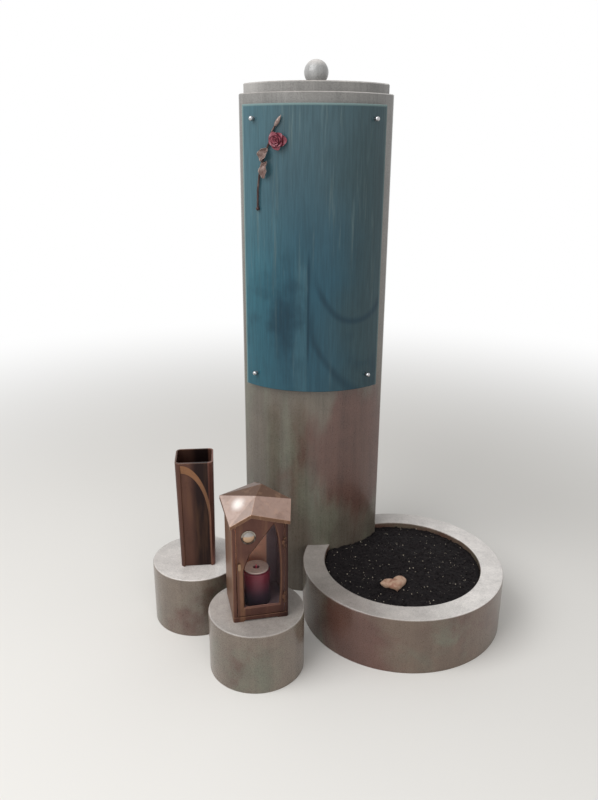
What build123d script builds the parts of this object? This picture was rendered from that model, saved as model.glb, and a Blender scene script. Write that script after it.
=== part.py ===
"""Stele headstone of polished gneiss, with a glass front, a planter ring and two pedestals.

Millimetres, +Z up. The origin is the centre of the stele's foot, and its glass front faces -Y.
"""
from build123d import *
from math import asin, cos, degrees, radians, sin, sqrt
import os

os.makedirs("parts", exist_ok=True)

# Stele: a column with a convex front and back and narrow flat flanks
stele_width = 350.0
stele_height = 1238.0
face_radius = 210.0
flank_depth = 82.0
arris_bevel = 4.0

# Cap stone and ball
cap_setback = 11.0
cap_height = 22.0
cap_bevel = 2.5
ball_diameter = 56.0
ball_seat = 21.0

# Glass panel in front of the column
glass_gap = 5.0
glass_thickness = 8.0
glass_bottom = 568.0
glass_head = 24.0
glass_half_angle = 46.0
glass_turn = -1.8
glass_polish = 1.2

# Point fixings of the glass
fixing_angle = 36.8
upper_fixing_inset = 30.0
lower_fixing_inset = 34.0
sleeve_radius = 7.0
screw_radius = 3.0
screw_play = 0.3
screw_grip = 30.0
head_diameter = 11.0
collar_radius = 4.6
collar_height = 2.4
head_sink = 0.9

# Bronze rose on the glass: degrees round the face, and drops below the top of the glass
rose_seat = 0.3
stem_radius = 2.3
stem_foot_radius = 4.2
stem_angles = (-35.2, -35.0, -33.3, -29.8, -27.0, -25.6, -23.4)
stem_drops = (221.0, 180.0, 136.0, 102.0, 80.0, 59.0, 46.0)
stem_bend = 14.0
bloom_angle = -21.4
bloom_drop = 78.0
bloom_foot_radius = 7.0
bloom_foot_height = 4.2
bloom_heart_radius = 5.5
bloom_heart_height = 9.0
petal_sheet = 1.5
petal_cup = 16.0
petal_lift = 1.0
petal_step = 1.7
outer_petals = 5
outer_petal_length = 19.0
outer_petal_width = 25.0
outer_petal_tilt = 14.0
inner_petals = 4
inner_petal_length = 14.0
inner_petal_width = 17.0
inner_petal_tilt = 44.0
bud_length = 27.0
bud_radius = 4.4
bud_swell = 0.36
leaf_sheet = 1.8
leaf_curl = 9.5
leaf_rib = 0.9
upper_leaf_angle = -30.6
upper_leaf_drop = 104.0
upper_leaf_length = 30.0
upper_leaf_width = 15.0
upper_leaf_lean = 58.0
lower_leaf_angle = -33.0
lower_leaf_drop = 137.0
lower_leaf_length = 34.0
lower_leaf_width = 14.0
lower_leaf_lean = 102.0

# Planter ring, notched round the stele
planter_centre = (226.0, -206.0)
planter_radius = 249.0
planter_wall = 55.0
planter_height = 141.0
planter_round = 4.0
stone_joint = 0.3
soil_drop = 14.0
soil_mound = 5.0

# Round pedestals
pedestal_radius = 108.0
pedestal_round = 4.0
lantern_pedestal_centre = (-129.0, -414.0)
lantern_pedestal_height = 146.0
vase_pedestal_centre = (-289.0, -218.0)
vase_pedestal_height = 155.5

# Lantern
lantern_centre = (-129.0, -400.0)
lantern_turn = 12.8
lantern_side = 122.0
lantern_wall = 4.0
lantern_corner = 5.0
foot_height = 3.0
foot_width = 26.0
tray_thickness = 9.0

# Lantern roof, folded from sheet with a lip turned down at the eaves: heights above the pedestal
roof_sheet = 3.0
roof_lip = 8.0
roof_rim = 2.4
roof_corner = (64.0, 64.0, 237.0)
front_peak = (-20.0, -74.0, 266.0)
side_peak = (74.0, -24.0, 268.0)
roof_fold = (-4.0, -33.0, 287.5)
roof_apex = (15.0, 0.0, 298.0)
roof_seat = 0.3

# Lantern door
door_gap = 2.0
door_thickness = 4.0
post_width = 8.0
door_head_gap = 3.0
window_left = -36.0
window_right = 40.0
window_bow = 43.5
window_sill = 35.0
window_shoulder = 127.0
window_knee = (-23.0, 163.0)
window_apex = (30.0, 230.5)
window_cheek = (39.8, 188.0)
window_brow = (35.4, 212.0)
window_splay = 2.6
pane_thickness = 2.5
pane_lap = 4.0
porthole_place = (-25.0, 207.0)
porthole_radius = 12.5
bezel_width = 3.5
bezel_height = 2.0
dome_rise = 3.5
porthole_play = 0.1
latch_place = (-46.0, 139.0)
latch_length = 16.0
latch_width = 6.0
latch_height = 3.0
latch_neck = 1.8

# Door hinges
hinge_heights = (52.0, 186.0)
knuckle_radius = 2.6
knuckle_length = 8.0
knuckle_gap = 0.5
pin_radius = 1.2
pin_play = 0.06

# Candle
candle_radius = 31.0
candle_height = 80.0
candle_shoulder = 3.0
lid_radius = 27.5
lid_height = 4.0
lid_mouth = 8.0
wick_radius = 1.2
wick_height = 9.0

# Vase
vase_centre = (-283.6, -222.0)
vase_turn = 6.0
vase_foot = 82.0
vase_mouth = 89.0
vase_height = 276.0
vase_corner = 12.0
vase_wall = 3.5
vase_front_wall = 7.5
vase_floor = 6.0
hood_depth = 3.0
panel_depth = 5.0
panel_left = -32.0
panel_right = 30.5
panel_top = 250.0
panel_spring = 120.0
hood_width = 21.0
hood_side_width = 6.5

# Worked out from the sizes above
face_centre = sqrt(face_radius**2 - (stele_width / 2) ** 2) - flank_depth / 2
glass_inner = face_radius + glass_gap
glass_outer = glass_inner + glass_thickness
glass_top = stele_height - glass_head
glass_height = glass_top - glass_bottom
ball_radius = ball_diameter / 2


def save(piece, name):
    """Labels a finished piece and writes its STEP file."""
    piece.part.label = name
    export_step(piece.part, f"parts/{name}.step")


def on_face(angle, height, radius):
    """Plane that touches a cylinder round the front face, its Z pointing outwards."""
    a = radians(angle)
    place = (radius * sin(a), face_centre - radius * cos(a), height)
    return Plane(origin=place, x_dir=(cos(a), sin(a), 0), z_dir=(sin(a), -cos(a), 0))


def stele_outline(inset):
    """Section of the stele: front and back arcs between two flat flanks."""
    with BuildSketch() as outline:
        with Locations((0, face_centre)):
            Circle(face_radius - inset)
        with Locations((0, -face_centre)):
            Circle(face_radius - inset, mode=Mode.INTERSECT)
        Rectangle(stele_width - 2 * inset, 2 * face_radius, mode=Mode.INTERSECT)
    return outline.sketch


# Places of the four fixings: angle round the face and height
fixing_places = [
    (glass_turn + side * fixing_angle, height)
    for height in (glass_bottom + lower_fixing_inset, glass_top - upper_fixing_inset)
    for side in (-1, 1)
]

# Column, with a polished bevel on its upright arrises and its top edge
with BuildPart() as stele_column:
    with BuildSketch():
        add(stele_outline(0))
    extrude(amount=stele_height)
    chamfer(stele_column.edges().filter_by(Axis.Z), arris_bevel)
    chamfer(stele_column.faces().sort_by(Axis.Z)[-1].edges(), arris_bevel / 2)
    for angle, height in fixing_places:
        with Locations(on_face(angle, height, face_radius)):
            Cylinder(
                screw_radius + screw_play,
                screw_grip,
                align=(Align.CENTER, Align.CENTER, Align.MAX),
                mode=Mode.SUBTRACT,
            )
            Cylinder(
                screw_radius + screw_play,
                glass_gap,
                align=(Align.CENTER, Align.CENTER, Align.MIN),
                mode=Mode.SUBTRACT,
            )
save(stele_column, "stele_column")

# Cap stone, set back from the column, with a seat for the ball
with BuildPart() as top_cap:
    with BuildSketch(Plane.XY.offset(stele_height)):
        add(stele_outline(cap_setback))
    extrude(amount=cap_height)
    chamfer(top_cap.faces().sort_by(Axis.Z)[-1].edges(), cap_bevel)
save(top_cap, "top_cap")

# Ball, ground flat where it stands on the cap
seat_drop = ball_radius - sqrt(ball_radius**2 - (ball_seat / 2) ** 2)
with BuildPart() as cap_ball:
    with Locations((0, 0, stele_height + cap_height + ball_radius - seat_drop)):
        Sphere(ball_radius)
    split(bisect_by=Plane.XY.offset(stele_height + cap_height), keep=Keep.TOP)
save(cap_ball, "cap_ball")

# Bent glass panel
with BuildPart() as glass_panel:
    with BuildSketch(Plane.XY.offset(glass_bottom)):
        with Locations((0, face_centre)):
            Circle(glass_outer)
            Circle(glass_inner, mode=Mode.SUBTRACT)
        with BuildLine():
            reach = 2 * glass_outer
            edges = [glass_turn - glass_half_angle, glass_turn + glass_half_angle]
            left, right = [(reach * sin(radians(a)), face_centre - reach * cos(radians(a))) for a in edges]
            Polyline((0, face_centre), left, right, close=True)
        make_face(mode=Mode.INTERSECT)
    extrude(amount=glass_height)
    chamfer(glass_panel.faces().sort_by(Axis.Z)[-1].edges(), glass_polish)
    chamfer(glass_panel.faces().sort_by(Axis.Z)[0].edges(), glass_polish)
    for angle, height in fixing_places:
        with Locations(on_face(angle, height, glass_inner)):
            Cylinder(
                screw_radius + screw_play,
                4 * glass_thickness,
                align=(Align.CENTER, Align.CENTER, Align.CENTER),
                mode=Mode.SUBTRACT,
            )
save(glass_panel, "glass_panel")

# Fixings: a sleeve between stone and glass, cut from a longer blank to fit their round faces,
# and a ball-headed screw through both
fixing_names = ("lower_left", "lower_right", "upper_left", "upper_right")
for name, (angle, height) in zip(fixing_names, fixing_places):
    seat = on_face(angle, height, face_radius)
    front = on_face(angle, height, glass_outer)
    with BuildPart() as fixing_sleeve:
        with BuildSketch(seat.offset(-glass_gap)):
            Circle(sleeve_radius)
            Circle(screw_radius + screw_play, mode=Mode.SUBTRACT)
        extrude(amount=3 * glass_gap)
        with Locations((0, face_centre, height)):
            Cylinder(glass_inner, 4 * sleeve_radius, mode=Mode.INTERSECT)
            Cylinder(face_radius, 4 * sleeve_radius, mode=Mode.SUBTRACT)
    save(fixing_sleeve, f"fixing_sleeve_{name}")

    with BuildPart() as fixing_screw:
        with BuildSketch(seat.offset(-screw_grip)):
            Circle(screw_radius)
        extrude(amount=screw_grip + glass_gap + glass_thickness)
        with BuildSketch(front):
            Circle(collar_radius)
        extrude(amount=collar_height)
        with Locations(front.offset(collar_height + head_diameter / 2 - head_sink)):
            Sphere(head_diameter / 2)
    save(fixing_screw, f"fixing_screw_{name}")

# Rose stem, bent round the glass and thickened at its foot
stem_radius_out = glass_outer + rose_seat + stem_foot_radius
with BuildPart() as rose_stem:
    with BuildLine() as stem_line:
        stem_route = zip(stem_angles, stem_drops)
        points = [on_face(angle, glass_top - drop, stem_radius_out).origin for angle, drop in stem_route]
        FilletPolyline(*points, radius=stem_bend)
    with BuildSketch(Plane(origin=stem_line.line @ 0, z_dir=stem_line.line % 0)):
        Circle(stem_radius)
    sweep()
    with Locations(stem_line.line @ 0):
        Sphere(stem_foot_radius)
save(rose_stem, "rose_stem")

# Rose bloom: two rings of cupped petals round a heart, on a low foot
bloom_base = on_face(bloom_angle, glass_top - bloom_drop, glass_outer + rose_seat)


def petal(turn, tilt, length, width, lift):
    """Cupped petal: an oval cut from a thin tube, its foot on the bloom's axis."""
    spoke = bloom_base.x_dir * cos(radians(turn)) + bloom_base.y_dir * sin(radians(turn))
    along = spoke * cos(radians(tilt)) + bloom_base.z_dir * sin(radians(tilt))
    inward = bloom_base.z_dir * cos(radians(tilt)) - spoke * sin(radians(tilt))
    foot = Plane(bloom_base.origin + bloom_base.z_dir * lift, x_dir=along, z_dir=inward)
    with BuildPart() as cup:
        with BuildSketch(foot):
            with Locations((length / 2, 0)):
                Ellipse(length / 2, width / 2)
        extrude(amount=petal_cup)
        with Locations(foot * Pos(0, 0, petal_cup) * Rot(0, 90, 0)):
            Cylinder(petal_cup, 4 * length, mode=Mode.INTERSECT)
            Cylinder(petal_cup - petal_sheet, 4 * length, mode=Mode.SUBTRACT)
    return cup.part


petal_rings = (
    (outer_petals, outer_petal_tilt, outer_petal_length, outer_petal_width),
    (inner_petals, inner_petal_tilt, inner_petal_length, inner_petal_width),
)
petals = [
    petal((step + ring / 3) * 360 / count, tilt, length, width, petal_lift + ring * petal_step)
    for ring, (count, tilt, length, width) in enumerate(petal_rings)
    for step in range(count)
]
with BuildPart() as rose_bloom:
    with BuildSketch(bloom_base):
        Circle(bloom_foot_radius)
    extrude(amount=bloom_foot_height)
    with Locations(bloom_base.offset(bloom_heart_height)):
        Sphere(bloom_heart_radius)
    add(petals)
save(rose_bloom, "rose_bloom")

# Rose bud, growing on from the end of the stem
bud_foot = stem_line.line @ 1
bud_axis = stem_line.line % 1
bud_side = Plane(origin=bud_foot, z_dir=bud_axis).x_dir
with BuildPart() as rose_bud:
    with BuildSketch(Plane(origin=bud_foot, x_dir=bud_side, z_dir=bud_side.cross(bud_axis))):
        with BuildLine():
            tip = (0, bud_length)
            swell = (bud_radius, bud_length * bud_swell)
            Spline((stem_radius, 0), swell, tip, tangents=((0.6, 1), (-0.4, 1)))
            Polyline(tip, (0, 0), (stem_radius, 0))
        make_face()
    revolve(axis=Axis(bud_foot, bud_axis))
save(rose_bud, "rose_bud")

# Rose leaves: pointed ovals with a midrib, curled along their length, lying on the stem
leaf_sizes = (
    ("upper", upper_leaf_angle, upper_leaf_drop, upper_leaf_length, upper_leaf_width, upper_leaf_lean),
    ("lower", lower_leaf_angle, lower_leaf_drop, lower_leaf_length, lower_leaf_width, lower_leaf_lean),
)
for name, angle, drop, length, width, lean in leaf_sizes:
    seat = on_face(angle, glass_top - drop, stem_radius_out + stem_radius + rose_seat)
    along = seat.x_dir * cos(radians(lean)) + seat.y_dir * sin(radians(lean))
    leaf = Plane(seat.origin, x_dir=along, z_dir=seat.z_dir)
    with BuildPart() as rose_leaf:
        with BuildSketch(leaf):
            with BuildLine():
                ThreePointArc((-length / 2, 0), (0, width / 2), (length / 2, 0))
                ThreePointArc((length / 2, 0), (0, -width / 2), (-length / 2, 0))
            make_face()
        extrude(amount=leaf_curl)
        with Locations(leaf * Pos(0, 0, leaf_curl) * Rot(0, 90, 0)):
            Cylinder(leaf_curl, 2 * length, mode=Mode.INTERSECT)
            Cylinder(leaf_curl - leaf_sheet, 2 * length, mode=Mode.SUBTRACT)
        with Locations(leaf * Pos(0, 0, leaf_sheet) * Rot(0, 90, 0)):
            Cylinder(leaf_rib, length - width / 2)
    save(rose_leaf, f"rose_leaf_{name}")

# Planter ring, open inside and notched to the stele
with BuildPart() as planter_ring:
    with BuildSketch():
        with Locations(planter_centre):
            Circle(planter_radius)
            Circle(planter_radius - planter_wall, mode=Mode.SUBTRACT)
    extrude(amount=planter_height)
    fillet(planter_ring.faces().sort_by(Axis.Z)[-1].edges(), planter_round)
    with BuildSketch():
        add(stele_outline(-stone_joint))
    extrude(amount=planter_height, mode=Mode.SUBTRACT)
save(planter_ring, "planter_ring")

# Soil in the ring, mounded towards the middle
soil_radius = planter_radius - planter_wall - stone_joint
soil_edge = planter_height - soil_drop
with BuildPart() as planter_soil:
    with BuildSketch(Plane((*planter_centre, 0), x_dir=(1, 0, 0), z_dir=(0, -1, 0))):
        with BuildLine():
            TangentArc((0, soil_edge + soil_mound), (soil_radius, soil_edge), tangent=(1, 0))
            Polyline((soil_radius, soil_edge), (soil_radius, 0), (0, 0), (0, soil_edge + soil_mound))
        make_face()
    revolve(axis=Axis((*planter_centre, 0), (0, 0, 1)))
    with BuildSketch():
        add(stele_outline(-stone_joint))
    extrude(amount=planter_height, mode=Mode.SUBTRACT)
save(planter_soil, "planter_soil")

# Round pedestals
for name, centre, height in (
    ("lantern_pedestal", lantern_pedestal_centre, lantern_pedestal_height),
    ("vase_pedestal", vase_pedestal_centre, vase_pedestal_height),
):
    with BuildPart() as pedestal:
        with BuildSketch():
            with Locations(centre):
                Circle(pedestal_radius)
        extrude(amount=height)
        fillet(pedestal.faces().sort_by(Axis.Z)[-1].edges(), pedestal_round)
    save(pedestal, name)

# The lantern's own frame: X along its door, Y to its back, heights from the pedestal
lantern = Plane(
    origin=(*lantern_centre, lantern_pedestal_height),
    x_dir=(cos(radians(lantern_turn)), sin(radians(lantern_turn)), 0),
    z_dir=(0, 0, 1),
)
half_side = lantern_side / 2
door_plane = Plane(lantern.from_local_coords((0, -half_side, 0)), x_dir=lantern.x_dir, z_dir=-lantern.y_dir)


def rounded_square(side, corner):
    """Square sketch with rounded corners, in the plane that holds it."""
    with BuildSketch() as square:
        RectangleRounded(side, side, corner)
    return square.sketch


def roof_points(pull, drop):
    """Roof vertices in the lantern's frame, pulled towards the axis and lowered."""
    share = 1 - pull / roof_corner[0]
    front, side, fold = front_peak, side_peak, roof_fold
    named = {"apex": roof_apex}
    for turn, word in ((1, "front"), (-1, "back")):
        named[f"{word}_peak"] = (turn * front[0], turn * front[1], front[2])
        named[f"{word}_fold"] = (turn * fold[0], turn * fold[1], fold[2])
    for turn, word in ((1, "right"), (-1, "left")):
        named[f"{word}_peak"] = (turn * side[0], turn * side[1], side[2])
    for x, y, word in ((1, -1, "front_right"), (1, 1, "back_right"), (-1, 1, "back_left"), (-1, -1, "front_left")):
        named[word] = (x * roof_corner[0], y * roof_corner[1], roof_corner[2])
    return {
        key: lantern.from_local_coords((x * share, y * share, z - drop)) for key, (x, y, z) in named.items()
    }


# Outline of the eaves, anticlockwise from above, and the roof's facets
eaves = (
    "front_peak",
    "front_right",
    "right_peak",
    "back_right",
    "back_peak",
    "back_left",
    "left_peak",
    "front_left",
)
facets = (
    ("front_peak", "front_fold", "front_left"),
    ("front_left", "front_fold", "left_peak"),
    ("front_peak", "front_right", "front_fold"),
    ("front_right", "right_peak", "front_fold"),
    ("front_fold", "right_peak", "apex"),
    ("front_fold", "apex", "left_peak"),
    ("back_peak", "back_fold", "back_right"),
    ("back_right", "back_fold", "right_peak"),
    ("back_peak", "back_left", "back_fold"),
    ("back_left", "left_peak", "back_fold"),
    ("back_fold", "left_peak", "apex"),
    ("back_fold", "apex", "right_peak"),
)


def flat_face(*corners):
    """Flat face with these corners."""
    return Face(Wire.make_polygon(corners))


def roof_shell():
    """Roof of folded sheet: outer facets, the lip round the eaves and inner facets."""
    outer = roof_points(0, 0)
    outer_lip = roof_points(0, roof_lip)
    inner_lip = roof_points(roof_rim, roof_lip)
    inner = roof_points(roof_rim, roof_sheet)
    faces = [flat_face(*(outer[key] for key in facet)) for facet in facets]
    faces += [flat_face(*(inner[key] for key in reversed(facet))) for facet in facets]
    for start, end in zip(eaves, eaves[1:] + eaves[:1]):
        faces.append(flat_face(outer[start], outer_lip[start], outer_lip[end], outer[end]))
        faces.append(flat_face(outer_lip[start], inner_lip[end], outer_lip[end]))
        faces.append(flat_face(outer_lip[start], inner_lip[start], inner_lip[end]))
        faces.append(flat_face(inner_lip[start], inner[start], inner[end], inner_lip[end]))
    return Solid(Shell(faces))


def under_roof(gap):
    """All the room under the roof down to the pedestal, kept a gap below the sheet."""
    top = roof_points(roof_rim, roof_sheet + gap)
    low = {key: Vector(top[key].X, top[key].Y, lantern_pedestal_height) for key in eaves}
    faces = [flat_face(*(top[key] for key in facet)) for facet in facets]
    for start, end in zip(eaves, eaves[1:] + eaves[:1]):
        faces.append(flat_face(top[start], low[start], low[end], top[end]))
    faces.append(flat_face(*(low[key] for key in reversed(eaves))))
    return Solid(Shell(faces))


# Lantern tray on four corner feet
tray_top = foot_height + tray_thickness
foot_pitch = lantern_side - foot_width
with BuildPart() as lantern_tray:
    with BuildSketch(lantern.offset(foot_height)):
        add(rounded_square(lantern_side, lantern_corner))
    extrude(amount=tray_thickness)
    with BuildSketch(lantern):
        with GridLocations(foot_pitch, foot_pitch, 2, 2):
            RectangleRounded(foot_width, foot_width, lantern_corner)
    extrude(amount=foot_height)
save(lantern_tray, "lantern_tray")

# Lantern walls: three sides and two front posts, trimmed under the roof, with hinge lugs
hinge_x = half_side - post_width - door_gap / 2
hinge_y = -half_side - knuckle_radius
hinge_span = 3 * knuckle_length + 2 * knuckle_gap
post_edge = half_side - post_width
with BuildPart() as lantern_walls:
    with BuildSketch(lantern.offset(tray_top)):
        add(rounded_square(lantern_side, lantern_corner))
        add(rounded_square(lantern_side - 2 * lantern_wall, lantern_corner / 2), mode=Mode.SUBTRACT)
        with Locations((0, -half_side)):
            Rectangle(2 * post_edge, lantern_side, mode=Mode.SUBTRACT)
    extrude(amount=side_peak[2])
    add(under_roof(roof_seat), mode=Mode.INTERSECT)
    for height in hinge_heights:
        for step in (-1, 1):
            lug_base = height + step * (knuckle_length + knuckle_gap) - knuckle_length / 2
            with BuildSketch(lantern.offset(lug_base)):
                with Locations((hinge_x, hinge_y)):
                    Circle(knuckle_radius)
                with Locations((post_edge + knuckle_radius / 2, -half_side - knuckle_radius / 2)):
                    Rectangle(knuckle_radius, knuckle_radius)
                with Locations((hinge_x, hinge_y)):
                    Circle(pin_radius + pin_play, mode=Mode.SUBTRACT)
            extrude(amount=knuckle_length)
save(lantern_walls, "lantern_walls")

# Lantern roof
with BuildPart() as lantern_roof:
    add(roof_shell())
save(lantern_roof, "lantern_roof")


def window_outline(grow):
    """Leaning pointed window of the door, drawn on the door's plane."""
    with BuildSketch() as window:
        with BuildLine():
            bow = (window_bow, (window_sill + window_cheek[1]) / 2)
            Polyline(window_apex, window_knee, (window_left, window_shoulder), (window_left, window_sill))
            Line((window_left, window_sill), (window_right, window_sill))
            ThreePointArc((window_right, window_sill), bow, window_cheek)
            ThreePointArc(window_cheek, window_brow, window_apex)
        make_face()
        if grow:
            offset(amount=grow, kind=Kind.INTERSECTION)
    return window.sketch


# Door leaf with its knuckles; its gable stays a gap below the eaves' edge, so it swings out
door_edge = post_edge - door_gap
door_bottom = tray_top + door_gap
door_drop = roof_lip + door_head_gap
with BuildPart() as lantern_door:
    with BuildSketch(door_plane.offset(-door_thickness)):
        with BuildLine():
            corner_x, _, corner_top = roof_corner
            peak_x, _, peak_top = front_peak
            left, right = (-corner_x, corner_top - door_drop), (corner_x, corner_top - door_drop)
            Polyline(left, (peak_x, peak_top - door_drop), right)
            Polyline(right, (corner_x, door_bottom), (-corner_x, door_bottom), left)
        make_face()
        Rectangle(2 * door_edge, 2 * peak_top, mode=Mode.INTERSECT)
        add(window_outline(0), mode=Mode.SUBTRACT)
        with Locations(porthole_place):
            Circle(porthole_radius, mode=Mode.SUBTRACT)
    extrude(amount=door_thickness)
    leaf_front = lantern_door.faces().sort_by(Axis(door_plane.origin, door_plane.z_dir))[-1]
    window_rim = leaf_front.inner_wires().sort_by(SortBy.LENGTH)[-1]
    chamfer(window_rim.edges(), window_splay)
    for height in hinge_heights:
        with BuildSketch(lantern.offset(height - knuckle_length / 2)):
            with Locations((hinge_x, hinge_y)):
                Circle(knuckle_radius)
            with Locations((door_edge - knuckle_radius / 2, -half_side - knuckle_radius / 2)):
                Rectangle(2 * knuckle_radius, knuckle_radius)
            with Locations((hinge_x, hinge_y)):
                Circle(pin_radius + pin_play, mode=Mode.SUBTRACT)
        extrude(amount=knuckle_length)
save(lantern_door, "lantern_door")

# Hinge pins
for name, height in zip(("lower", "upper"), hinge_heights):
    with BuildPart() as hinge_pin:
        with BuildSketch(lantern.offset(height - hinge_span / 2)):
            with Locations((hinge_x, hinge_y)):
                Circle(pin_radius)
        extrude(amount=hinge_span)
    save(hinge_pin, f"hinge_pin_{name}")

# Window pane behind the leaf
with BuildPart() as door_glass:
    with BuildSketch(door_plane.offset(-door_thickness)):
        add(window_outline(pane_lap))
    extrude(amount=-pane_thickness)
save(door_glass, "door_glass")

# Porthole: a bezel on the leaf and a domed glass in it
with BuildPart() as porthole_bezel:
    with BuildSketch(door_plane):
        with Locations(porthole_place):
            Circle(porthole_radius + bezel_width)
            Circle(porthole_radius, mode=Mode.SUBTRACT)
    extrude(amount=bezel_height)
    fillet(porthole_bezel.faces().sort_by(Axis(door_plane.origin, door_plane.z_dir))[-1].edges(), bezel_height / 3)
save(porthole_bezel, "porthole_bezel")

glass_rim = porthole_radius - porthole_play
dome_radius = (glass_rim**2 + dome_rise**2) / (2 * dome_rise)
dome_angle = degrees(asin(glass_rim / dome_radius))
porthole_centre = door_plane.from_local_coords((*porthole_place, 0))
with BuildPart() as porthole_glass:
    with BuildSketch(Plane(porthole_centre, x_dir=door_plane.x_dir, z_dir=-door_plane.y_dir)):
        with BuildLine():
            CenterArc((0, dome_rise - dome_radius), dome_radius, 90 - dome_angle, dome_angle)
            Polyline((0, dome_rise), (0, -door_thickness), (glass_rim, -door_thickness), (glass_rim, 0))
        make_face()
    revolve(axis=Axis(porthole_centre, door_plane.z_dir))
save(porthole_glass, "porthole_glass")

# Turn latch on the left stile
with BuildPart() as door_latch:
    with BuildSketch(door_plane):
        with Locations(latch_place):
            Circle(latch_width / 2)
    extrude(amount=latch_neck)
    with BuildSketch(door_plane.offset(latch_neck)):
        with Locations(latch_place):
            SlotOverall(latch_length, latch_width, rotation=90)
    extrude(amount=latch_height)
save(door_latch, "door_latch")

# Candle in its cup, standing on the tray
candle_base = lantern.offset(tray_top)
with BuildPart() as candle_cup:
    with BuildSketch(candle_base):
        Circle(candle_radius)
    extrude(amount=candle_height)
    fillet(candle_cup.faces().sort_by(Axis.Z)[-1].edges(), candle_shoulder)
save(candle_cup, "candle_cup")

with BuildPart() as candle_lid:
    with BuildSketch(candle_base.offset(candle_height)):
        Circle(lid_radius)
        Circle(lid_mouth, mode=Mode.SUBTRACT)
    extrude(amount=lid_height)
save(candle_lid, "candle_lid")

with BuildPart() as candle_wick:
    with BuildSketch(candle_base.offset(candle_height)):
        Circle(wick_radius)
    extrude(amount=wick_height)
save(candle_wick, "candle_wick")

# Vase: a tapered rounded square, open at the top, with a sunk panel stepped in under a splayed half-arch
vase = Plane(
    origin=(*vase_centre, vase_pedestal_height),
    x_dir=(cos(radians(vase_turn)), sin(radians(vase_turn)), 0),
    z_dir=(0, 0, 1),
)
vase_lean = asin((vase_mouth - vase_foot) / 2 / vase_height)
vase_front = Plane(
    origin=vase.from_local_coords((0, -vase_foot / 2, 0)),
    x_dir=vase.x_dir,
    z_dir=-vase.y_dir * cos(vase_lean) - vase.z_dir * sin(vase_lean),
)


def half_arch(out, side_reach, top_reach):
    """Half-arch a distance out from the vase's front, its right side and top moved outwards."""
    right, top, foot = panel_right + side_reach, panel_top + top_reach, -panel_depth
    with BuildSketch(vase_front.offset(out)) as arch:
        with BuildLine():
            EllipticalCenterArc((panel_left, panel_spring), right - panel_left, top - panel_spring, arc_size=90)
            Polyline((panel_left, top), (panel_left, foot), (right, foot), (right, panel_spring))
        make_face()
    return arch.sketch.face()


vase_cavities = (
    (vase_floor, vase_foot - 2 * vase_wall, vase_foot - vase_wall - vase_front_wall),
    (vase_height, vase_mouth - 2 * vase_wall, vase_mouth - vase_wall - vase_front_wall),
)
with BuildPart() as vase_body:
    with BuildSketch(vase):
        RectangleRounded(vase_foot, vase_foot, vase_corner)
    with BuildSketch(vase.offset(vase_height)):
        RectangleRounded(vase_mouth, vase_mouth, vase_corner)
    loft()
    for height, width, depth in vase_cavities:
        with BuildSketch(vase.offset(height)):
            with Locations((0, (vase_front_wall - vase_wall) / 2)):
                RectangleRounded(width, depth, vase_corner - vase_wall)
    loft(mode=Mode.SUBTRACT)
    lip = half_arch(-hood_depth, 0, 0)
    clear = half_arch(hood_depth, 2 * hood_side_width, 2 * hood_width)
    loft(sections=[lip, clear], ruled=True, mode=Mode.SUBTRACT)
    extrude(lip, amount=hood_depth - panel_depth, mode=Mode.SUBTRACT)
save(vase_body, "vase_body")
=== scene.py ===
"""Looks of a stele headstone: a bent glass front, a bronze rose, a planter ring, a lantern and a vase.

The file is laid out as an add-on: settings, one operator for each group of pieces, one for the stage,
and a panel. Lengths are metres and +Z is up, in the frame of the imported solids, whose glass front
faces -Y.
"""

from math import cos, hypot, pi, radians, sin, sqrt

import bmesh
import bpy
from bpy.props import FloatProperty, FloatVectorProperty, IntProperty, PointerProperty
from mathutils import Matrix, Vector, noise


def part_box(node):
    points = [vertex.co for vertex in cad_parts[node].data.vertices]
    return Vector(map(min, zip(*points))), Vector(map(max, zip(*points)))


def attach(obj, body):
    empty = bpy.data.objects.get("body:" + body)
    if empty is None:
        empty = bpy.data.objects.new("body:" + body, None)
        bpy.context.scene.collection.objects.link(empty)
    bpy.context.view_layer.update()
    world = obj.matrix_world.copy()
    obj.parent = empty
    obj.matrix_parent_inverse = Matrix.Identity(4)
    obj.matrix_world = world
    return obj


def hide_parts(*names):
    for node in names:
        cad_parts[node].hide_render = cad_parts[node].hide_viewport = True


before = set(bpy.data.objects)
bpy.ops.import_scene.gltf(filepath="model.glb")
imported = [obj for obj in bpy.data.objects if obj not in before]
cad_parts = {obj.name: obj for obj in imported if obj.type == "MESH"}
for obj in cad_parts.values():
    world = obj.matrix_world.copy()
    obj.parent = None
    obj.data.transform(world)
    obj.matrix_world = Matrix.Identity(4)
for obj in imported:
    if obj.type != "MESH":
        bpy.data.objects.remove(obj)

bl_info = {
    "name": "Stele headstone looks",
    "version": (1, 0, 0),
    "blender": (4, 5, 0),
    "location": "View3D > Sidebar > Stele",
    "description": "Dresses the solids of a stele headstone and adds its rose petals, leaves and soil",
    "category": "Object",
}

# Body that carries everything but the lantern's door
FIXED_BODY = "monument"

# The stele's front face, shared with the solids: radius of the glass's outside and its axis
GLASS_RADIUS = 0.223
GLASS_AXIS_Y = 0.0751

# The stone's section and the planter ring, shared with the solids, and the soil's gap to both
FACE_RADIUS = 0.210
STELE_WIDTH = 0.350
PLANTER_CENTRE = (0.226, -0.206)
PLANTER_BORE = 0.194
PLANTER_TOP = 0.141
SOIL_GAP = 0.0006

# Seats of the rose's parts: degrees round the face, height, and then the bloom's distance out from
# the glass or the leaf's lean in degrees. Both leaves are equally far out.
BLOOM_SEAT = (-22.0, 1.138, 0.0022)
UPPER_LEAF = (-30.4, 1.109, 58.0)
LOWER_LEAF = (-29.8, 1.077, 76.0)
LEAF_OUT = 0.0068

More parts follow.
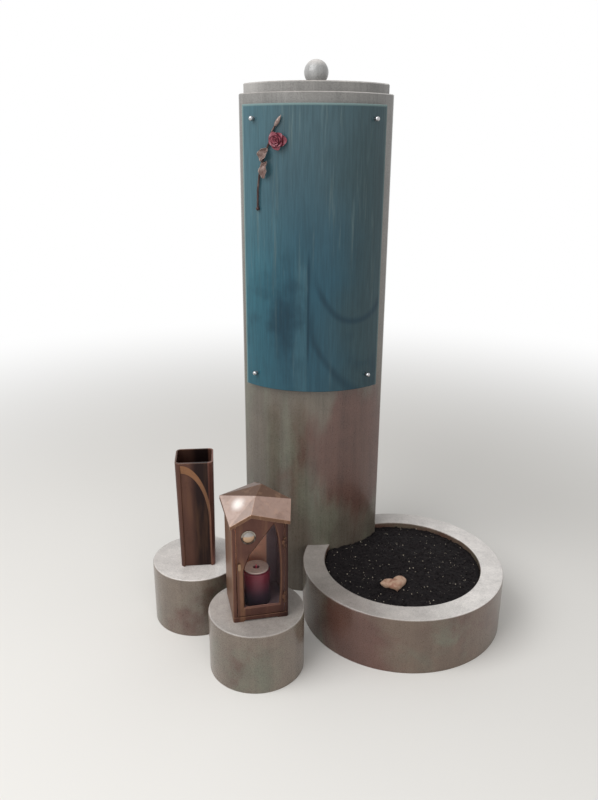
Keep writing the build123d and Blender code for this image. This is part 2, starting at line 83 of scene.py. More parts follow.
# Centre and turn of the lantern, shared with the solids, and half the width inside its walls
LANTERN_CENTRE = (-0.129, -0.400, 0)
LANTERN_TURN = 12.8
LANTERN_INSIDE = 0.0585

# Turn of the vase, shared with the solids, and its middle along the turned X axis
VASE_TURN = 6.0
VASE_MIDDLE = -0.305

# Floor: half its side, its height, and the distances between which it fades to white
FLOOR_REACH = 14.0
FLOOR_HEIGHT = -0.0005
FLOOR_FADE = (0.8, 3.2)


def srgb(*steps):
    """Linear colour of an sRGB one given in steps of 0 to 255."""
    parts = [step / 255 for step in steps]
    return tuple(p / 12.92 if p <= 0.04045 else ((p + 0.055) / 1.055) ** 2.4 for p in parts)


def colour(name, text, *steps):
    """Colour setting whose default is an sRGB colour in steps of 0 to 255."""
    return FloatVectorProperty(
        name=name, description=text, subtype="COLOR", size=3, min=0, max=1, default=srgb(*steps)
    )


def length(name, text, metres):
    """Length setting in metres."""
    return FloatProperty(name=name, description=text, unit="LENGTH", default=metres, min=0)


def position(name, text, *metres):
    """Setting of a place in metres."""
    return FloatVectorProperty(name=name, description=text, subtype="TRANSLATION", size=3, default=metres)


def share(name, text, value):
    """Setting from 0 to 1."""
    return FloatProperty(name=name, description=text, subtype="FACTOR", default=value, min=0, max=1)


def angle(name, text, degrees):
    """Angle setting, given in degrees."""
    return FloatProperty(name=name, description=text, subtype="ANGLE", default=radians(degrees))


def amount(name, text, value, unit="NONE"):
    """Setting of 0 or more."""
    return FloatProperty(name=name, description=text, default=value, min=0, unit=unit)


def count(name, text, value, least=0):
    """Whole number setting."""
    return IntProperty(name=name, description=text, default=value, min=least)


class StoneSettings(bpy.types.PropertyGroup):
    """Polished gneiss of the column, cap, ball, ring and pedestals"""

    ground: colour("Ground", "Warm grey ground of the stone", 110, 98, 87)
    light_ground: colour("Light ground", "Cool grey of the stone towards the stele's top", 117, 115, 112)
    ball_ground: colour("Ball", "Pale grey of the ball", 148, 148, 147)
    column_ground: colour("Column", "Ground of the column low down", 95, 87, 77)
    ring_ground: colour("Ring", "Browner ground of the planter ring", 100, 84, 72)
    green: colour("Green patches", "Greenish grey patches", 100, 102, 88)
    rust: colour("Rust patches", "Reddish brown patches", 86, 55, 48)
    # Painted sky reflection on upper faces, from the dull colour to the pale one along X; the pale colour
    # also paints a reflection on the cap's left end
    shade_top: colour("Dull upper faces", "Upper faces away from the sky's reflection", 152, 146, 141)
    pale: colour("Pale upper faces", "Upper faces that reflect the sky", 226, 222, 218)
    patches: share("Patches", "Strength of the coloured patches", 0.8)
    streaks: share("Streaks", "Strength of the upright streaks", 0.5)
    short_streaks: share("Short streaks", "Strength of the streaks on the ring and pedestals", 0.3)
    grain: share("Grain", "Strength of the fine grain", 0.5)
    roughness: share("Roughness", "Roughness of the polished sides", 0.32)
    gloss: share("Gloss", "Strength of the polish", 0.35)


class GlassSettings(bpy.types.PropertyGroup):
    """Bent teal glass on the front"""

    light: colour("Light side", "Blue green towards the left edge", 64, 98, 108)
    light_foot: colour("Light foot", "Stronger blue green low on the left", 42, 92, 105)
    teal: colour("Teal", "Main colour of the glass", 34, 70, 84)
    head: colour("Head", "Paler grey blue towards the top", 66, 86, 92)
    deep: colour("Deep veils", "Dark blue veils in the glass", 10, 44, 58)
    smoke: colour("Smoky side", "Dark greenish grey towards the right", 44, 62, 65)
    streak: colour("Streaks", "Pale upright streaks of the stone behind", 92, 110, 110)
    # Painted light along the pane's left, right and top edges
    painted_edge_light: colour("Rim", "Pale green edge of the pane", 120, 142, 140)
    roughness: share("Roughness", "Roughness of the glass face", 0.2)
    ring_place: position("Ring", "Middle of the dark ring in the lower half", 0.083, 0, 0.848)
    ring_radius: length("Ring radius", "Height of the dark ring from its middle", 0.1)
    sweep_place: position("Sweep", "Middle of the wide dark sweep below the ring", 0.252, 0, 0.778)
    sweep_radius: length("Sweep radius", "Radius of the wide dark sweep", 0.261)
    cloud_place: position("Cloud", "Middle of the dark cloud at the lower left", -0.069, 0, 0.74)
    seam: FloatProperty(name="Seam", description="X of the fine upright seam", unit="LENGTH", default=-0.015)


class FixingSettings(bpy.types.PropertyGroup):
    """Ball-headed point fixings of the glass"""

    steel: colour("Steel", "Polished steel", 190, 190, 192)
    roughness: share("Roughness", "Roughness of the steel", 0.18)


class RoseSettings(bpy.types.PropertyGroup):
    """Bronze rose on the glass"""

    petal_red: colour("Petal red", "Enamelled petals", 131, 56, 69)
    # Painted shade in the bloom's depths, also the dark of the petals' mottle
    petal_shade: colour("Petal shade", "Depths between the petals", 82, 33, 46)
    bronze: colour("Bronze", "Stem", 68, 50, 48)
    leaf: colour("Leaf", "Bud and open parts of the leaves", 134, 116, 110)
    # Patina and painted shade in the hollows of the leaves
    leaf_hollow: colour("Leaf hollow", "Hollows of the curled leaves", 92, 54, 46)
    bronze_dark: colour("Dark bronze", "Hollows of the stem", 44, 30, 30)
    bronze_light: colour("Light bronze", "Rubbed edges of the bud and leaves", 176, 158, 150)
    petals: IntProperty(name="Petals", description="Number of petals", default=19, min=5, max=40)
    turn: angle("Turn", "Turn from one petal to the next", 137.5)
    petal_length: length("Petal length", "Length of an outer petal", 0.0232)
    petal_width: length("Petal width", "Width of an outer petal", 0.025)
    outer_tilt: angle("Outer tilt", "Rise of the outermost petal", 12)
    inner_tilt: angle("Inner tilt", "Rise of the innermost petal", 82)
    inner_size: share("Inner size", "Size of the innermost petal beside the outermost", 0.42)
    seed: count("Seed", "Seed of the petals' small turns", 4)


class SoilSettings(bpy.types.PropertyGroup):
    """Soil in the planter ring"""

    below: length("Below rim", "Depth of the soil below the ring's top", 0.014)
    mound: length("Mound", "Rise of the soil towards the middle", 0.005)
    lumps: length("Lumps", "Height of the soil's lumps", 0.0035)
    dark: colour("Dark soil", "Moist soil", 10, 7, 9)
    brown: colour("Brown soil", "Drier soil", 26, 19, 20)
    speck: colour("Specks", "Pale mineral grains", 196, 186, 168)
    crumbs: amount("Crumbs", "Crumbs to a square metre", 22000)
    crumb_size: length("Crumb size", "Size of the largest crumbs", 0.0062)
    specks: amount("Specks", "Pale grains to a square metre", 2600)
    speck_size: length("Speck size", "Size of the largest grains", 0.0034)
    seed: count("Seed", "Seed of the scatter", 7)


class HeartSettings(bpy.types.PropertyGroup):
    """Heart-shaped stone that lies on the soil"""

    pale: colour("Pale", "Sandy ground of the stone", 172, 142, 120)
    warm: colour("Warm", "Warmer veins of the stone", 140, 98, 78)
    place: position("Place", "Middle of the stone", 0.196, -0.306, 0.136)
    width: length("Width", "Width across the lobes", 0.066)
    thickness: length("Thickness", "Thickness of the stone", 0.018)
    tilt: angle("Tilt", "Rise towards the lobes", 6)
    turn: angle("Turn", "Turn on the soil", 12)
    seed: count("Seed", "Seed of the stone's lumps", 1, 1)


class LanternSettings(bpy.types.PropertyGroup):
    """Bronze lantern with its copper roof and candle"""

    bronze: colour("Bronze", "Red-brown bronze of the case", 92, 62, 54)
    # Also the painted shade towards the case's right
    bronze_dark: colour("Dark bronze", "Patina in the hollows", 48, 30, 28)
    # Also the painted light on the lantern's left wall and the painted highlight down its left side
    bronze_light: colour("Light bronze", "Rubbed edges and bands", 160, 120, 90)
    # Painted light: the pale inside where light falls in through the window, with Dark inside as its shade
    inside: colour("Inside", "Golden bronze inside the case", 246, 186, 156)
    inside_dark: colour("Dark inside", "Inside of the case away from the light", 138, 116, 120)
    copper_pale: colour("Pale copper", "Lower slopes of the roof towards the light", 171, 151, 142)
    copper: colour("Copper", "Lower slopes of the roof away from the light", 156, 131, 120)
    copper_dark: colour("Dark copper", "Upper slopes of the roof", 100, 76, 63)
    copper_lip: colour("Copper lip", "Lip round the eaves", 112, 82, 64)
    copper_edge: colour("Copper edge", "Folds and eaves", 214, 172, 140)
    # Painted highlight on the roof's left slope: its colour, middle and reach
    painted_glint: colour("Glint", "Bright polish on the left slope", 244, 240, 236)
    painted_glint_place: position("Glint place", "Middle of the bright polish", -0.164, -0.434, 0.416)
    painted_glint_size: length("Glint size", "Reach of the bright polish", 0.022)
    brass: colour("Brass", "Latch and hinge pins", 150, 122, 96)
    # Painted reflection: the porthole's ring is silvery above and dark below
    bezel: colour("Bezel", "Ring of the porthole", 150, 142, 132)
    bezel_dark: colour("Dark bezel", "Lower part of the porthole's ring", 60, 46, 40)
    pane: colour("Pane", "Smoky tint of the window", 44, 42, 50)
    pane_clear: share("Clearness", "Share of the window that is clear", 0.92)
    # Painted reflection: the porthole's glass is silvery above
    porthole: colour("Porthole", "Amber glass of the porthole", 190, 156, 124)
    porthole_painted_sky: colour("Porthole top", "Silvery upper part of the porthole", 164, 160, 156)
    candle: colour("Candle", "Upper part of the red candle cup", 124, 38, 54)
    candle_foot: colour("Candle foot", "Darker lower part of the candle cup", 52, 38, 50)
    lid: colour("Lid", "Pale metal lid", 255, 238, 226)
    lid_side: colour("Lid's side", "Shaded side of the lid", 128, 84, 82)
    wick: colour("Wick", "Pink wick holder", 255, 110, 130)
    roughness: share("Roughness", "Roughness of the bronze", 0.42)


class VaseSettings(bpy.types.PropertyGroup):
    """Bronze vase"""

    bronze: colour("Bronze", "Brown bronze of the vase", 90, 62, 53)
    bronze_dark: colour("Dark bronze", "Hollows and the side away from the light", 40, 27, 26)
    bronze_light: colour("Light bronze", "Rubbed edges", 150, 108, 78)
    # Rubbed bronze with painted light on the arch's splay
    hood: colour("Hood", "Rubbed splay of the arch", 142, 102, 74)
    # Redder bronze, lightened as painted light on the right strip
    side: colour("Side", "Redder right edge of the front", 124, 82, 72)
    roughness: share("Roughness", "Roughness of the bronze", 0.4)


class StageSettings(bpy.types.PropertyGroup):
    """Floor, lamps and camera"""

    floor: colour("Floor", "Pale floor", 226, 224, 220)
    world: amount("World", "Even light from all round", 0.55)
    key: amount("Key", "Power of the soft lamp above, in watts", 62)
    fill: amount("Fill", "Power of the front lamp, in watts", 12)
    camera_place: position("Camera", "Place of the camera", -0.0355, -1.793, 1.120)
    camera_pitch: angle("Pitch", "Tilt of the camera up from straight down", 70.82)
    camera_roll: angle("Roll", "Roll of the camera", 0.3)
    camera_lens: amount("Lens", "Focal length for a 36 mm long side", 32.4, "CAMERA")


class Tree:
    """Adds nodes to one node tree and joins them."""

    def __init__(self, tree):
        self.tree = tree

    def feed(self, socket, value):
        """Links a socket to the input, or sets the input's own value."""
        if isinstance(value, bpy.types.NodeSocket):
            self.tree.links.new(value, socket)
        elif socket.type == "RGBA":
            socket.default_value = (*value[:3], 1)
        else:
            socket.default_value = value

    def add(self, kind, inputs=None, **settings):
        """Adds a node with these settings and inputs, in rows of ten."""
        step = len(self.tree.nodes)
        node = self.tree.nodes.new(kind)
        for name, value in settings.items():
            setattr(node, name, value)
        for key, value in (inputs or {}).items():
            self.feed(node.inputs[key], value)
        node.location = (210 * (step % 10), -280 * (step // 10))
        return node

    def math(self, operation, first, second=0.0):
        """Result of a Math node."""
        return self.add("ShaderNodeMath", {0: first, 1: second}, operation=operation).outputs[0]

    def plus(self, first, second):
        """Sum of two values."""
        return self.math("ADD", first, second)

    def minus(self, first, second):
        """First value less the second."""
        return self.math("SUBTRACT", first, second)

    def times(self, first, *others):
        """Product of values."""
        for other in others:
            first = self.math("MULTIPLY", first, other)
        return first

    def most(self, first, *others):
        """Largest of some values."""
        for other in others:
            first = self.math("MAXIMUM", first, other)
        return first

    def mix(self, amount, first, second, blend="MIX"):
        """Mix of two colours."""
        inputs = {0: amount, 6: first, 7: second}
        return self.add("ShaderNodeMix", inputs, data_type="RGBA", blend_type=blend).outputs[2]

    def toned(self, base, tone):
        """Colour made lighter or darker by a tone."""
        grey = self.add("ShaderNodeCombineColor", {0: tone, 1: tone, 2: tone}).outputs[0]
        return self.mix(1.0, base, grey, "MULTIPLY")

    def ramp(self, value, low, high, bottom=0.0, top=1.0):
        """Smooth step of a value between two marks."""
        inputs = {"Value": value, "From Min": low, "From Max": high, "To Min": bottom, "To Max": top}
        return self.add("ShaderNodeMapRange", inputs, interpolation_type="SMOOTHSTEP").outputs["Result"]

    def vector(self, operation, first, second):
        """Vector that a Vector Math node gives."""
        return self.add("ShaderNodeVectorMath", {0: first, 1: second}, operation=operation).outputs["Vector"]

    def measure(self, operation, first, second=(0, 0, 0)):
        """Number that a Vector Math node gives: a length, a distance or a dot product."""
        return self.add("ShaderNodeVectorMath", {0: first, 1: second}, operation=operation).outputs["Value"]

    def noise(self, place, scale, detail=3.0, rough=0.5, distortion=0.0):
        """Value of a Noise Texture."""
        inputs = {"Vector": place, "Scale": scale, "Detail": detail, "Roughness": rough}
        return self.add("ShaderNodeTexNoise", {**inputs, "Distortion": distortion}).outputs[0]

    def split(self, vector):
        """X, Y and Z of a vector."""
        return self.add("ShaderNodeSeparateXYZ", {0: vector}).outputs[:3]

    def turned(self, vector, degrees):
        """X, Y and Z of a vector in axes turned round Z."""
        inputs = {"Vector": vector, "Angle": -radians(degrees)}
        return self.split(self.add("ShaderNodeVectorRotate", inputs, rotation_type="Z_AXIS").outputs[0])

    def hollow(self, reach):
        """Share of the open air round a point: 1 in the open, less in a hollow."""
        return self.add("ShaderNodeAmbientOcclusion", {"Distance": reach}, samples=6).outputs["AO"]

    def group(self, group, inputs):
        """Adds a node group and gives its outputs."""
        return self.add("ShaderNodeGroup", inputs, node_tree=group).outputs


def emptied(owner):
    """Tree of a material or a world, without its nodes."""
    owner.use_nodes = True
    owner.node_tree.nodes.clear()
    return Tree(owner.node_tree)


def new_group(kind, name, inputs, outputs):
    """Group whose sockets' names are given under their kinds: its tree, its inputs and its end node."""
    group = bpy.data.node_groups.new(name, kind)
    for way, sockets in (("INPUT", inputs), ("OUTPUT", outputs)):
        for socket_kind, names in sockets.items():
            for socket in names:
                group.interface.new_socket(socket, in_out=way, socket_type="NodeSocket" + socket_kind)
    tree = Tree(group)
    return tree, tree.add("NodeGroupInput").outputs, tree.add("NodeGroupOutput")


def gneiss_effect():
    """Streaked stone: patches, upright streaks, grain, dark mica and painted sky light on upper faces."""
    if "gneiss" in bpy.data.node_groups:
        return bpy.data.node_groups["gneiss"]
    inputs = {
        "Vector": ("Place", "Stretch", "Facing"),
        "Color": ("Ground", "Green", "Rust", "Pale"),
        "Float": ("Rusty", "Patches", "Streaks", "Grain", "Roughness"),
    }
    outputs = {"Color": ["Color"], "Float": ("Roughness", "Height")}
    tree, given, result = new_group("ShaderNodeTree", "gneiss", inputs, outputs)
    place = given["Place"]
    stretched = tree.vector("MULTIPLY", place, given["Stretch"])
    shifted = tree.vector("ADD", stretched, (3.1, 1.7, 2.3))
    green = tree.ramp(tree.noise(stretched, 6.5, 5, 0.6, 0.4), 0.47, 0.68)
    rusty = tree.times(given["Rusty"], 0.28)
    rust = tree.ramp(tree.plus(tree.noise(shifted, 6.0, 5, 0.62, 0.5), rusty), 0.52, 0.72)
    base = tree.mix(tree.times(green, given["Patches"]), given["Ground"], given["Green"])
    base = tree.mix(tree.times(rust, given["Patches"]), base, given["Rust"])
    # Painted sky reflection: upper faces mix towards the Pale colour, and they are also rougher
    tops_painted_sky = tree.ramp(tree.split(given["Facing"])[2], 0.35, 0.9, 0.0, 0.85)
    base = tree.mix(tops_painted_sky, base, given["Pale"])
    long = tree.vector("MULTIPLY", place, (1, 1, 0.035))
    fine_streak = tree.ramp(tree.noise(long, 150, 4, 0.6), 0.3, 0.7, -1, 1)
    broad_streak = tree.ramp(tree.noise(long, 34, 3, 0.55), 0.3, 0.7, -1, 1)
    streak = tree.plus(tree.times(fine_streak, 0.16), tree.times(broad_streak, 0.2))
    streak = tree.times(streak, given["Streaks"])
    grain = tree.ramp(tree.noise(place, 620, 3, 0.7), 0.3, 0.7, -1, 1)
    grain = tree.times(grain, 0.34, given["Grain"])
    cloud = tree.ramp(tree.noise(place, 22, 4, 0.6), 0.3, 0.7, -0.09, 0.09)
    base = tree.toned(base, tree.plus(tree.plus(streak, grain), tree.plus(cloud, 1.0)))
    flakes = tree.add("ShaderNodeTexVoronoi", {"Vector": place, "Scale": 230.0}).outputs["Distance"]
    mica = tree.ramp(flakes, 0.26, 0.1, 0.0, 0.5)
    base = tree.mix(tree.times(mica, given["Grain"]), base, (0.02, 0.02, 0.018))
    dull = tree.plus(given["Roughness"], tree.times(grain, 0.5))
    tree.feed(result.inputs["Color"], base)
    tree.feed(result.inputs["Roughness"], tree.plus(dull, tree.times(tops_painted_sky, 0.25)))
    tree.feed(result.inputs["Height"], tree.minus(grain, mica))
    return tree.tree


def patina_effect():
    """Cast bronze: mottled patina, upright bands and rubbed edges."""
    if "patina" in bpy.data.node_groups:
        return bpy.data.node_groups["patina"]
    inputs = {
        "Vector": ["Place"],
        "Color": ("Metal", "Dark", "Light"),
        "Float": ("Scale", "Mottle", "Edge", "Rubbed", "Roughness"),
    }
    outputs = {"Color": ["Color"], "Float": ("Roughness", "Height"), "Vector": ["Normal"]}
    tree, given, result = new_group("ShaderNodeTree", "patina", inputs, outputs)
    place = given["Place"]
    banded = tree.vector("MULTIPLY", place, (1, 1, 0.12))
    mottle = tree.noise(place, given["Scale"], 5, 0.65, 0.6)
    bands = tree.noise(banded, given["Scale"], 3, 0.5)
    dark = tree.times(tree.ramp(mottle, 0.46, 0.74), given["Mottle"])
    base = tree.mix(dark, given["Metal"], given["Dark"])
    bright = tree.times(tree.ramp(bands, 0.52, 0.72, 0.0, 0.7), given["Mottle"])
    base = tree.mix(bright, base, given["Light"])
    rounded = tree.add("ShaderNodeBevel", {"Radius": given["Edge"]}, samples=6).outputs[0]
    facing = tree.add("ShaderNodeNewGeometry").outputs["Normal"]
    edge = tree.ramp(tree.measure("DOT_PRODUCT", rounded, facing), 0.995, 0.9)
    rubbed = tree.times(edge, given["Rubbed"], tree.ramp(mottle, 0.3, 0.6, 1.0, 0.45))
    dull = tree.plus(given["Roughness"], tree.times(dark, 0.18))
    tree.feed(result.inputs["Color"], tree.mix(rubbed, base, given["Light"]))
    tree.feed(result.inputs["Roughness"], tree.minus(dull, tree.times(rubbed, 0.12)))
    tree.feed(result.inputs["Height"], tree.noise(place, tree.times(given["Scale"], 9.0), 4, 0.6))
    tree.feed(result.inputs["Normal"], rounded)
    return tree.tree


def new_material(name):
    """Material with one Principled shader, its tree and shader, and the object's own place and normal."""
    material = bpy.data.materials.new(name)
    tree = emptied(material)
    shader = tree.add("ShaderNodeBsdfPrincipled")
    tree.add("ShaderNodeOutputMaterial", {"Surface": shader.outputs[0]})
    coordinates = tree.add("ShaderNodeTexCoord").outputs
    return material, tree, shader, coordinates["Object"], coordinates["Normal"]


def paint(tree, shader, base, roughness):
    """Gives the shader its colour and roughness."""
    tree.feed(shader.inputs["Base Color"], base)
    tree.feed(shader.inputs["Roughness"], roughness)


def bump(tree, shader, height, strength, distance, normal=None):
    """Bump on the shader from a height."""
    inputs = {"Height": height, "Strength": strength, "Distance": distance}
    if normal is not None:
        inputs["Normal"] = normal
    tree.feed(shader.inputs["Normal"], tree.add("ShaderNodeBump", inputs).outputs[0])


def stone_material(
    name, settings, shift, bright, foot=None, head=None, lit=None, squat=False,
    rust=(0, 0, -1), reach=0.2, veins=(0, 1),
):
    """Polished gneiss: its pattern moved for one piece, with one colour at its foot and one at its head.

    Painted sky reflection brightens upper faces from the first X of bright to the second, and a painted
    reflection brightens the sides from the first X of lit. The rust goes from the first of veins to the
    second within reach of its place. Squat pieces have rounder patches and weaker streaks.
    """
    material, tree, shader, here, facing = new_material(name)
    x, _, height = tree.split(here)
    head = head or settings.light_ground
    rise = tree.ramp(height, 0.5, 1.25)
    inputs = {
        "Place": tree.vector("ADD", here, shift),
        "Stretch": (1, 1, 0.9 if squat else 0.32),
        "Facing": facing,
        "Ground": tree.mix(rise, foot or settings.ground, head),
        "Green": tree.mix(rise, settings.green, head),
        "Rust": settings.rust,
        # Painted sky reflection on upper faces, stronger along X
        "Pale": tree.mix(tree.ramp(x, *bright), settings.shade_top, settings.pale),
        "Rusty": tree.ramp(tree.measure("DISTANCE", here, rust), reach, 0.0, *veins),
        "Patches": settings.patches,
        "Streaks": settings.short_streaks if squat else settings.streaks,
        "Grain": settings.grain,
        "Roughness": settings.roughness,
    }
    stone = tree.group(gneiss_effect(), inputs)
    base = stone["Color"]
    # Painted reflection on the sides, here the cap's left end
    if lit:
        base = tree.mix(tree.ramp(x, *lit, 0, 0.27), base, settings.pale)
    paint(tree, shader, base, stone["Roughness"])
    shader.inputs["Coat Weight"].default_value = settings.gloss
    shader.inputs["Coat Roughness"].default_value = 0.12
    bump(tree, shader, stone["Height"], 0.25, 0.0006)
    return material


def bronze_material(name, metal, dark, light, scale, edge, rubbed, roughness, mottle=0.5, metallic=0.75):
    """Patinated metal with edges rubbed this wide.

    Its colour may be a function of the tree, the place and the facing, and its metallic share one of the
    tree and the place.
    """
    material, tree, shader, place, facing = new_material(name)
    inputs = {
        "Place": place,
        "Metal": metal(tree, place, facing) if callable(metal) else metal,
        "Dark": dark,
        "Light": light,
        "Scale": scale,
        "Mottle": mottle,
        "Edge": edge,
        "Rubbed": rubbed,
        "Roughness": roughness,
    }
    patina = tree.group(patina_effect(), inputs)
    paint(tree, shader, patina["Color"], patina["Roughness"])
    tree.feed(shader.inputs["Metallic"], metallic(tree, place) if callable(metallic) else metallic)
    bump(tree, shader, patina["Height"], 0.3, 0.02 / scale, patina["Normal"])
    return material


def dress(material, *nodes):
    """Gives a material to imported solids."""
    for name in nodes:
        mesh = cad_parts[name].data
        mesh.materials.clear()
        mesh.materials.append(material)


def linked(name, data):
    """New object in the scene."""
    item = bpy.data.objects.new(name, data)
    bpy.context.scene.collection.objects.link(item)
    return item


def new_piece(name, mesh, material, slot, *replaced):
    """Object for a finished mesh, riding on the fixed body."""
    piece = linked(name, mesh)
    mesh.materials.clear()
    mesh.materials.append(material)
    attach(piece, FIXED_BODY)
    if replaced:
        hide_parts(*replaced)
    return piece


def grid_mesh(name, rows, columns, point, closed=False):
    """Mesh of a grid whose points are a function of its row and column."""
    verts = [point(row, column) for row in range(rows) for column in range(columns)]
    faces = []
    for row in range(rows - 1):
        for column in range(columns if closed else columns - 1):
            after = (column + 1) % columns
            low, high = row * columns, (row + 1) * columns
            faces.append((low + column, low + after, high + after, high + column))
    mesh = bpy.data.meshes.new(name)
    mesh.from_pydata(verts, [], faces)
    mesh.update()
    return mesh


def weld(mesh):
    """Joins the points that lie on each other."""
    work = bmesh.new()
    work.from_mesh(mesh)
    bmesh.ops.remove_doubles(work, verts=work.verts, dist=0.000001)
    work.to_mesh(mesh)
    work.free()


def sheet_piece(name, mesh, thickness):
    """Object of a sheet that gets a thickness and one step of smoothing."""
    piece = linked(name, mesh)
    solidify = piece.modifiers.new("thickness", "SOLIDIFY")
    solidify.thickness, solidify.offset = thickness, 1.0
    smooth = piece.modifiers.new("smooth", "SUBSURF")
    smooth.levels = smooth.render_levels = 1
    return piece


def finished(piece, seat=None):
    """Plain mesh of an object at its seat with its modifiers applied, in the frame's coordinates."""
    if seat is not None:
        piece.matrix_world = seat
    bpy.context.view_layer.update()
    depsgraph = bpy.context.evaluated_depsgraph_get()
    mesh = bpy.data.meshes.new_from_object(piece.evaluated_get(depsgraph), depsgraph=depsgraph)
    mesh.transform(piece.matrix_world)
    bpy.data.objects.remove(piece)
    return mesh


def grown(name, mesh, group, values, seat=None):
    """Mesh that a geometry group makes on a carrier mesh, with values for the group's named inputs."""
    carrier = linked(name, mesh)
    modifier = carrier.modifiers.new(name, "NODES")
    modifier.node_group = group
    named = {item.name: item.identifier for item in group.interface.items_tree}
    for key, value in values.items():
        modifier[named[key]] = value
    return finished(carrier, seat)


def scattered(tree, end, points, shape, rotation, scale, material):
    """Ends a geometry tree with painted copies of a shape on its points."""
    inputs = {"Points": points, "Instance": shape, "Rotation": rotation, "Scale": scale}
    placed = tree.add("GeometryNodeInstanceOnPoints", inputs)
    real = tree.add("GeometryNodeRealizeInstances", {0: placed.outputs[0]})
    painted = tree.add("GeometryNodeSetMaterial", {"Geometry": real.outputs[0], "Material": material})
    tree.feed(end.inputs[0], painted.outputs[0])
    return tree.tree


def on_glass(degrees, height, out):
    """Matrix of a seat on the glass: X to the right, Y up, Z outwards."""
    turn = radians(degrees)
    across, outward = Vector((cos(turn), sin(turn), 0)), Vector((sin(turn), -cos(turn), 0))
    place = Vector((0, GLASS_AXIS_Y, height)) + outward * (GLASS_RADIUS + out)
    axes = Matrix((across, Vector((0, 0, 1)), outward)).transposed().to_4x4()
    return Matrix.Translation(place) @ axes


class STELE_OT_stage(bpy.types.Operator):
    """Sets the floor, the world, the lamps and the camera"""

    bl_idname = "stele.stage"
    bl_label = "Stage"

    def execute(self, context):
        settings = context.scene.stele_stage
        context.scene.view_settings.view_transform = "Standard"
        self.floor(settings)
        self.world(context.scene, settings)
        self.lamp("key_lamp", settings.key, 2.2, (-1.5, -1.3, 2.6), (0, -0.1, 0.45))
        self.lamp("fill_lamp", settings.fill, 1.2, (0.7, -2.6, 0.8), (0, -0.1, 0.4)).visible_glossy = False
        self.camera(context.scene, settings)
        return {"FINISHED"}

    def floor(self, settings):
        """Pale floor that fades to white with distance."""
        signs = ((-1, -1), (1, -1), (1, 1), (-1, 1))
        corners = [(FLOOR_REACH * x, FLOOR_REACH * y, FLOOR_HEIGHT) for x, y in signs]
        mesh = bpy.data.meshes.new("floor")
        mesh.from_pydata(corners, [], [(0, 1, 2, 3)])
        floor = linked("floor", mesh)
        material = bpy.data.materials.new("pale_floor")
        tree = emptied(material)
        lit = tree.add("ShaderNodeBsdfDiffuse", {"Color": settings.floor})
        white = tree.add("ShaderNodeEmission", {"Color": (1, 1, 1), "Strength": 1.0})
        place = tree.add("ShaderNodeTexCoord").outputs["Object"]
        far = tree.times(tree.ramp(tree.measure("LENGTH", place), *FLOOR_FADE), self.seen(tree))
        both = tree.add("ShaderNodeMixShader", {0: far, 1: lit.outputs[0], 2: white.outputs[0]})
        tree.add("ShaderNodeOutputMaterial", {"Surface": both.outputs[0]})
        mesh.materials.append(material)

    def seen(self, tree):
        """1 for rays that show the background: from the camera, off metal and through glass."""
        path = tree.add("ShaderNodeLightPath").outputs
        return tree.most(path["Is Glossy Ray"], path["Is Transmission Ray"], path["Is Camera Ray"])

    def world(self, scene, settings):
        """Even light, behind a white background."""
        world = bpy.data.worlds.new("studio")
        tree = emptied(world)
        strength = tree.ramp(self.seen(tree), 0, 1, settings.world, 1.0)
        light = tree.add("ShaderNodeBackground", {"Color": (1, 1, 1), "Strength": strength})
        tree.add("ShaderNodeOutputWorld", {"Surface": light.outputs[0]})
        scene.world = world

    def lamp(self, name, watts, size, place, target):
        """Square lamp that looks at a target."""
        data = bpy.data.lights.new(name, "AREA")
        data.energy, data.size = watts, size
        lamp = linked(name, data)
        lamp.location = place
        lamp.rotation_euler = (Vector(target) - Vector(place)).to_track_quat("-Z", "Y").to_euler()
        return lamp

    def camera(self, scene, settings):
        """Camera at the photograph's viewing angle."""
        data = bpy.data.cameras.new("camera")
        data.lens, data.sensor_width, data.sensor_fit = settings.camera_lens, 36, "AUTO"
        data.clip_start, data.clip_end = 0.05, 60
        aim = Matrix.Rotation(settings.camera_pitch, 4, "X") @ Matrix.Rotation(settings.camera_roll, 4, "Z")
        scene.camera = linked("camera", data)
        scene.camera.matrix_world = Matrix.Translation(settings.camera_place) @ aim


class STELE_OT_stone(bpy.types.Operator):
    """Dresses the column, cap, ball, planter ring and pedestals in polished gneiss"""

    bl_idname = "stele.stone"
    bl_label = "Stone"

    def execute(self, context):
        settings = context.scene.stele_stone
        column = {
            "foot": settings.column_ground, "rust": (0.125, -0.12, 0.41), "reach": 0.26, "veins": (-0.22, 1.5)
        }
        ring = {"foot": settings.ring_ground, "rust": (0.06, -0.42, 0.06), "reach": 0.17, "squat": True}
        # The bright spans paint sky reflection on upper faces along X; the cap's lit span paints a reflection
        # on its left end
        cap, ball, pedestal = {"lit": (-0.105, -0.15)}, {"head": settings.ball_ground}, {"squat": True}
        stones = (
            ("stele_column", "column", (-0.13, -0.03, 0), (-0.1, 0.3), column),
            ("top_cap", "cap", (0.4, 0.1, 0.9), (-0.2, 0.4), cap),
            ("cap_ball", "ball", (0.7, 0.2, 0.5), (-0.2, 0.2), ball),
            ("planter_ring", "ring", (1.3, 0.6, 0.2), (0.06, 0.44), ring),
            ("lantern_pedestal", "lantern_pedestal", (2.1, 0.3, 0.7), (-0.085, -0.532), pedestal),
            ("vase_pedestal", "vase_pedestal", (0.9, 2.2, 1.6), (-0.6, -0.2), pedestal),
        )
        for node, name, shift, bright, rest in stones:
            dress(stone_material("gneiss_" + name, settings, shift, bright, **rest), node)
        return {"FINISHED"}


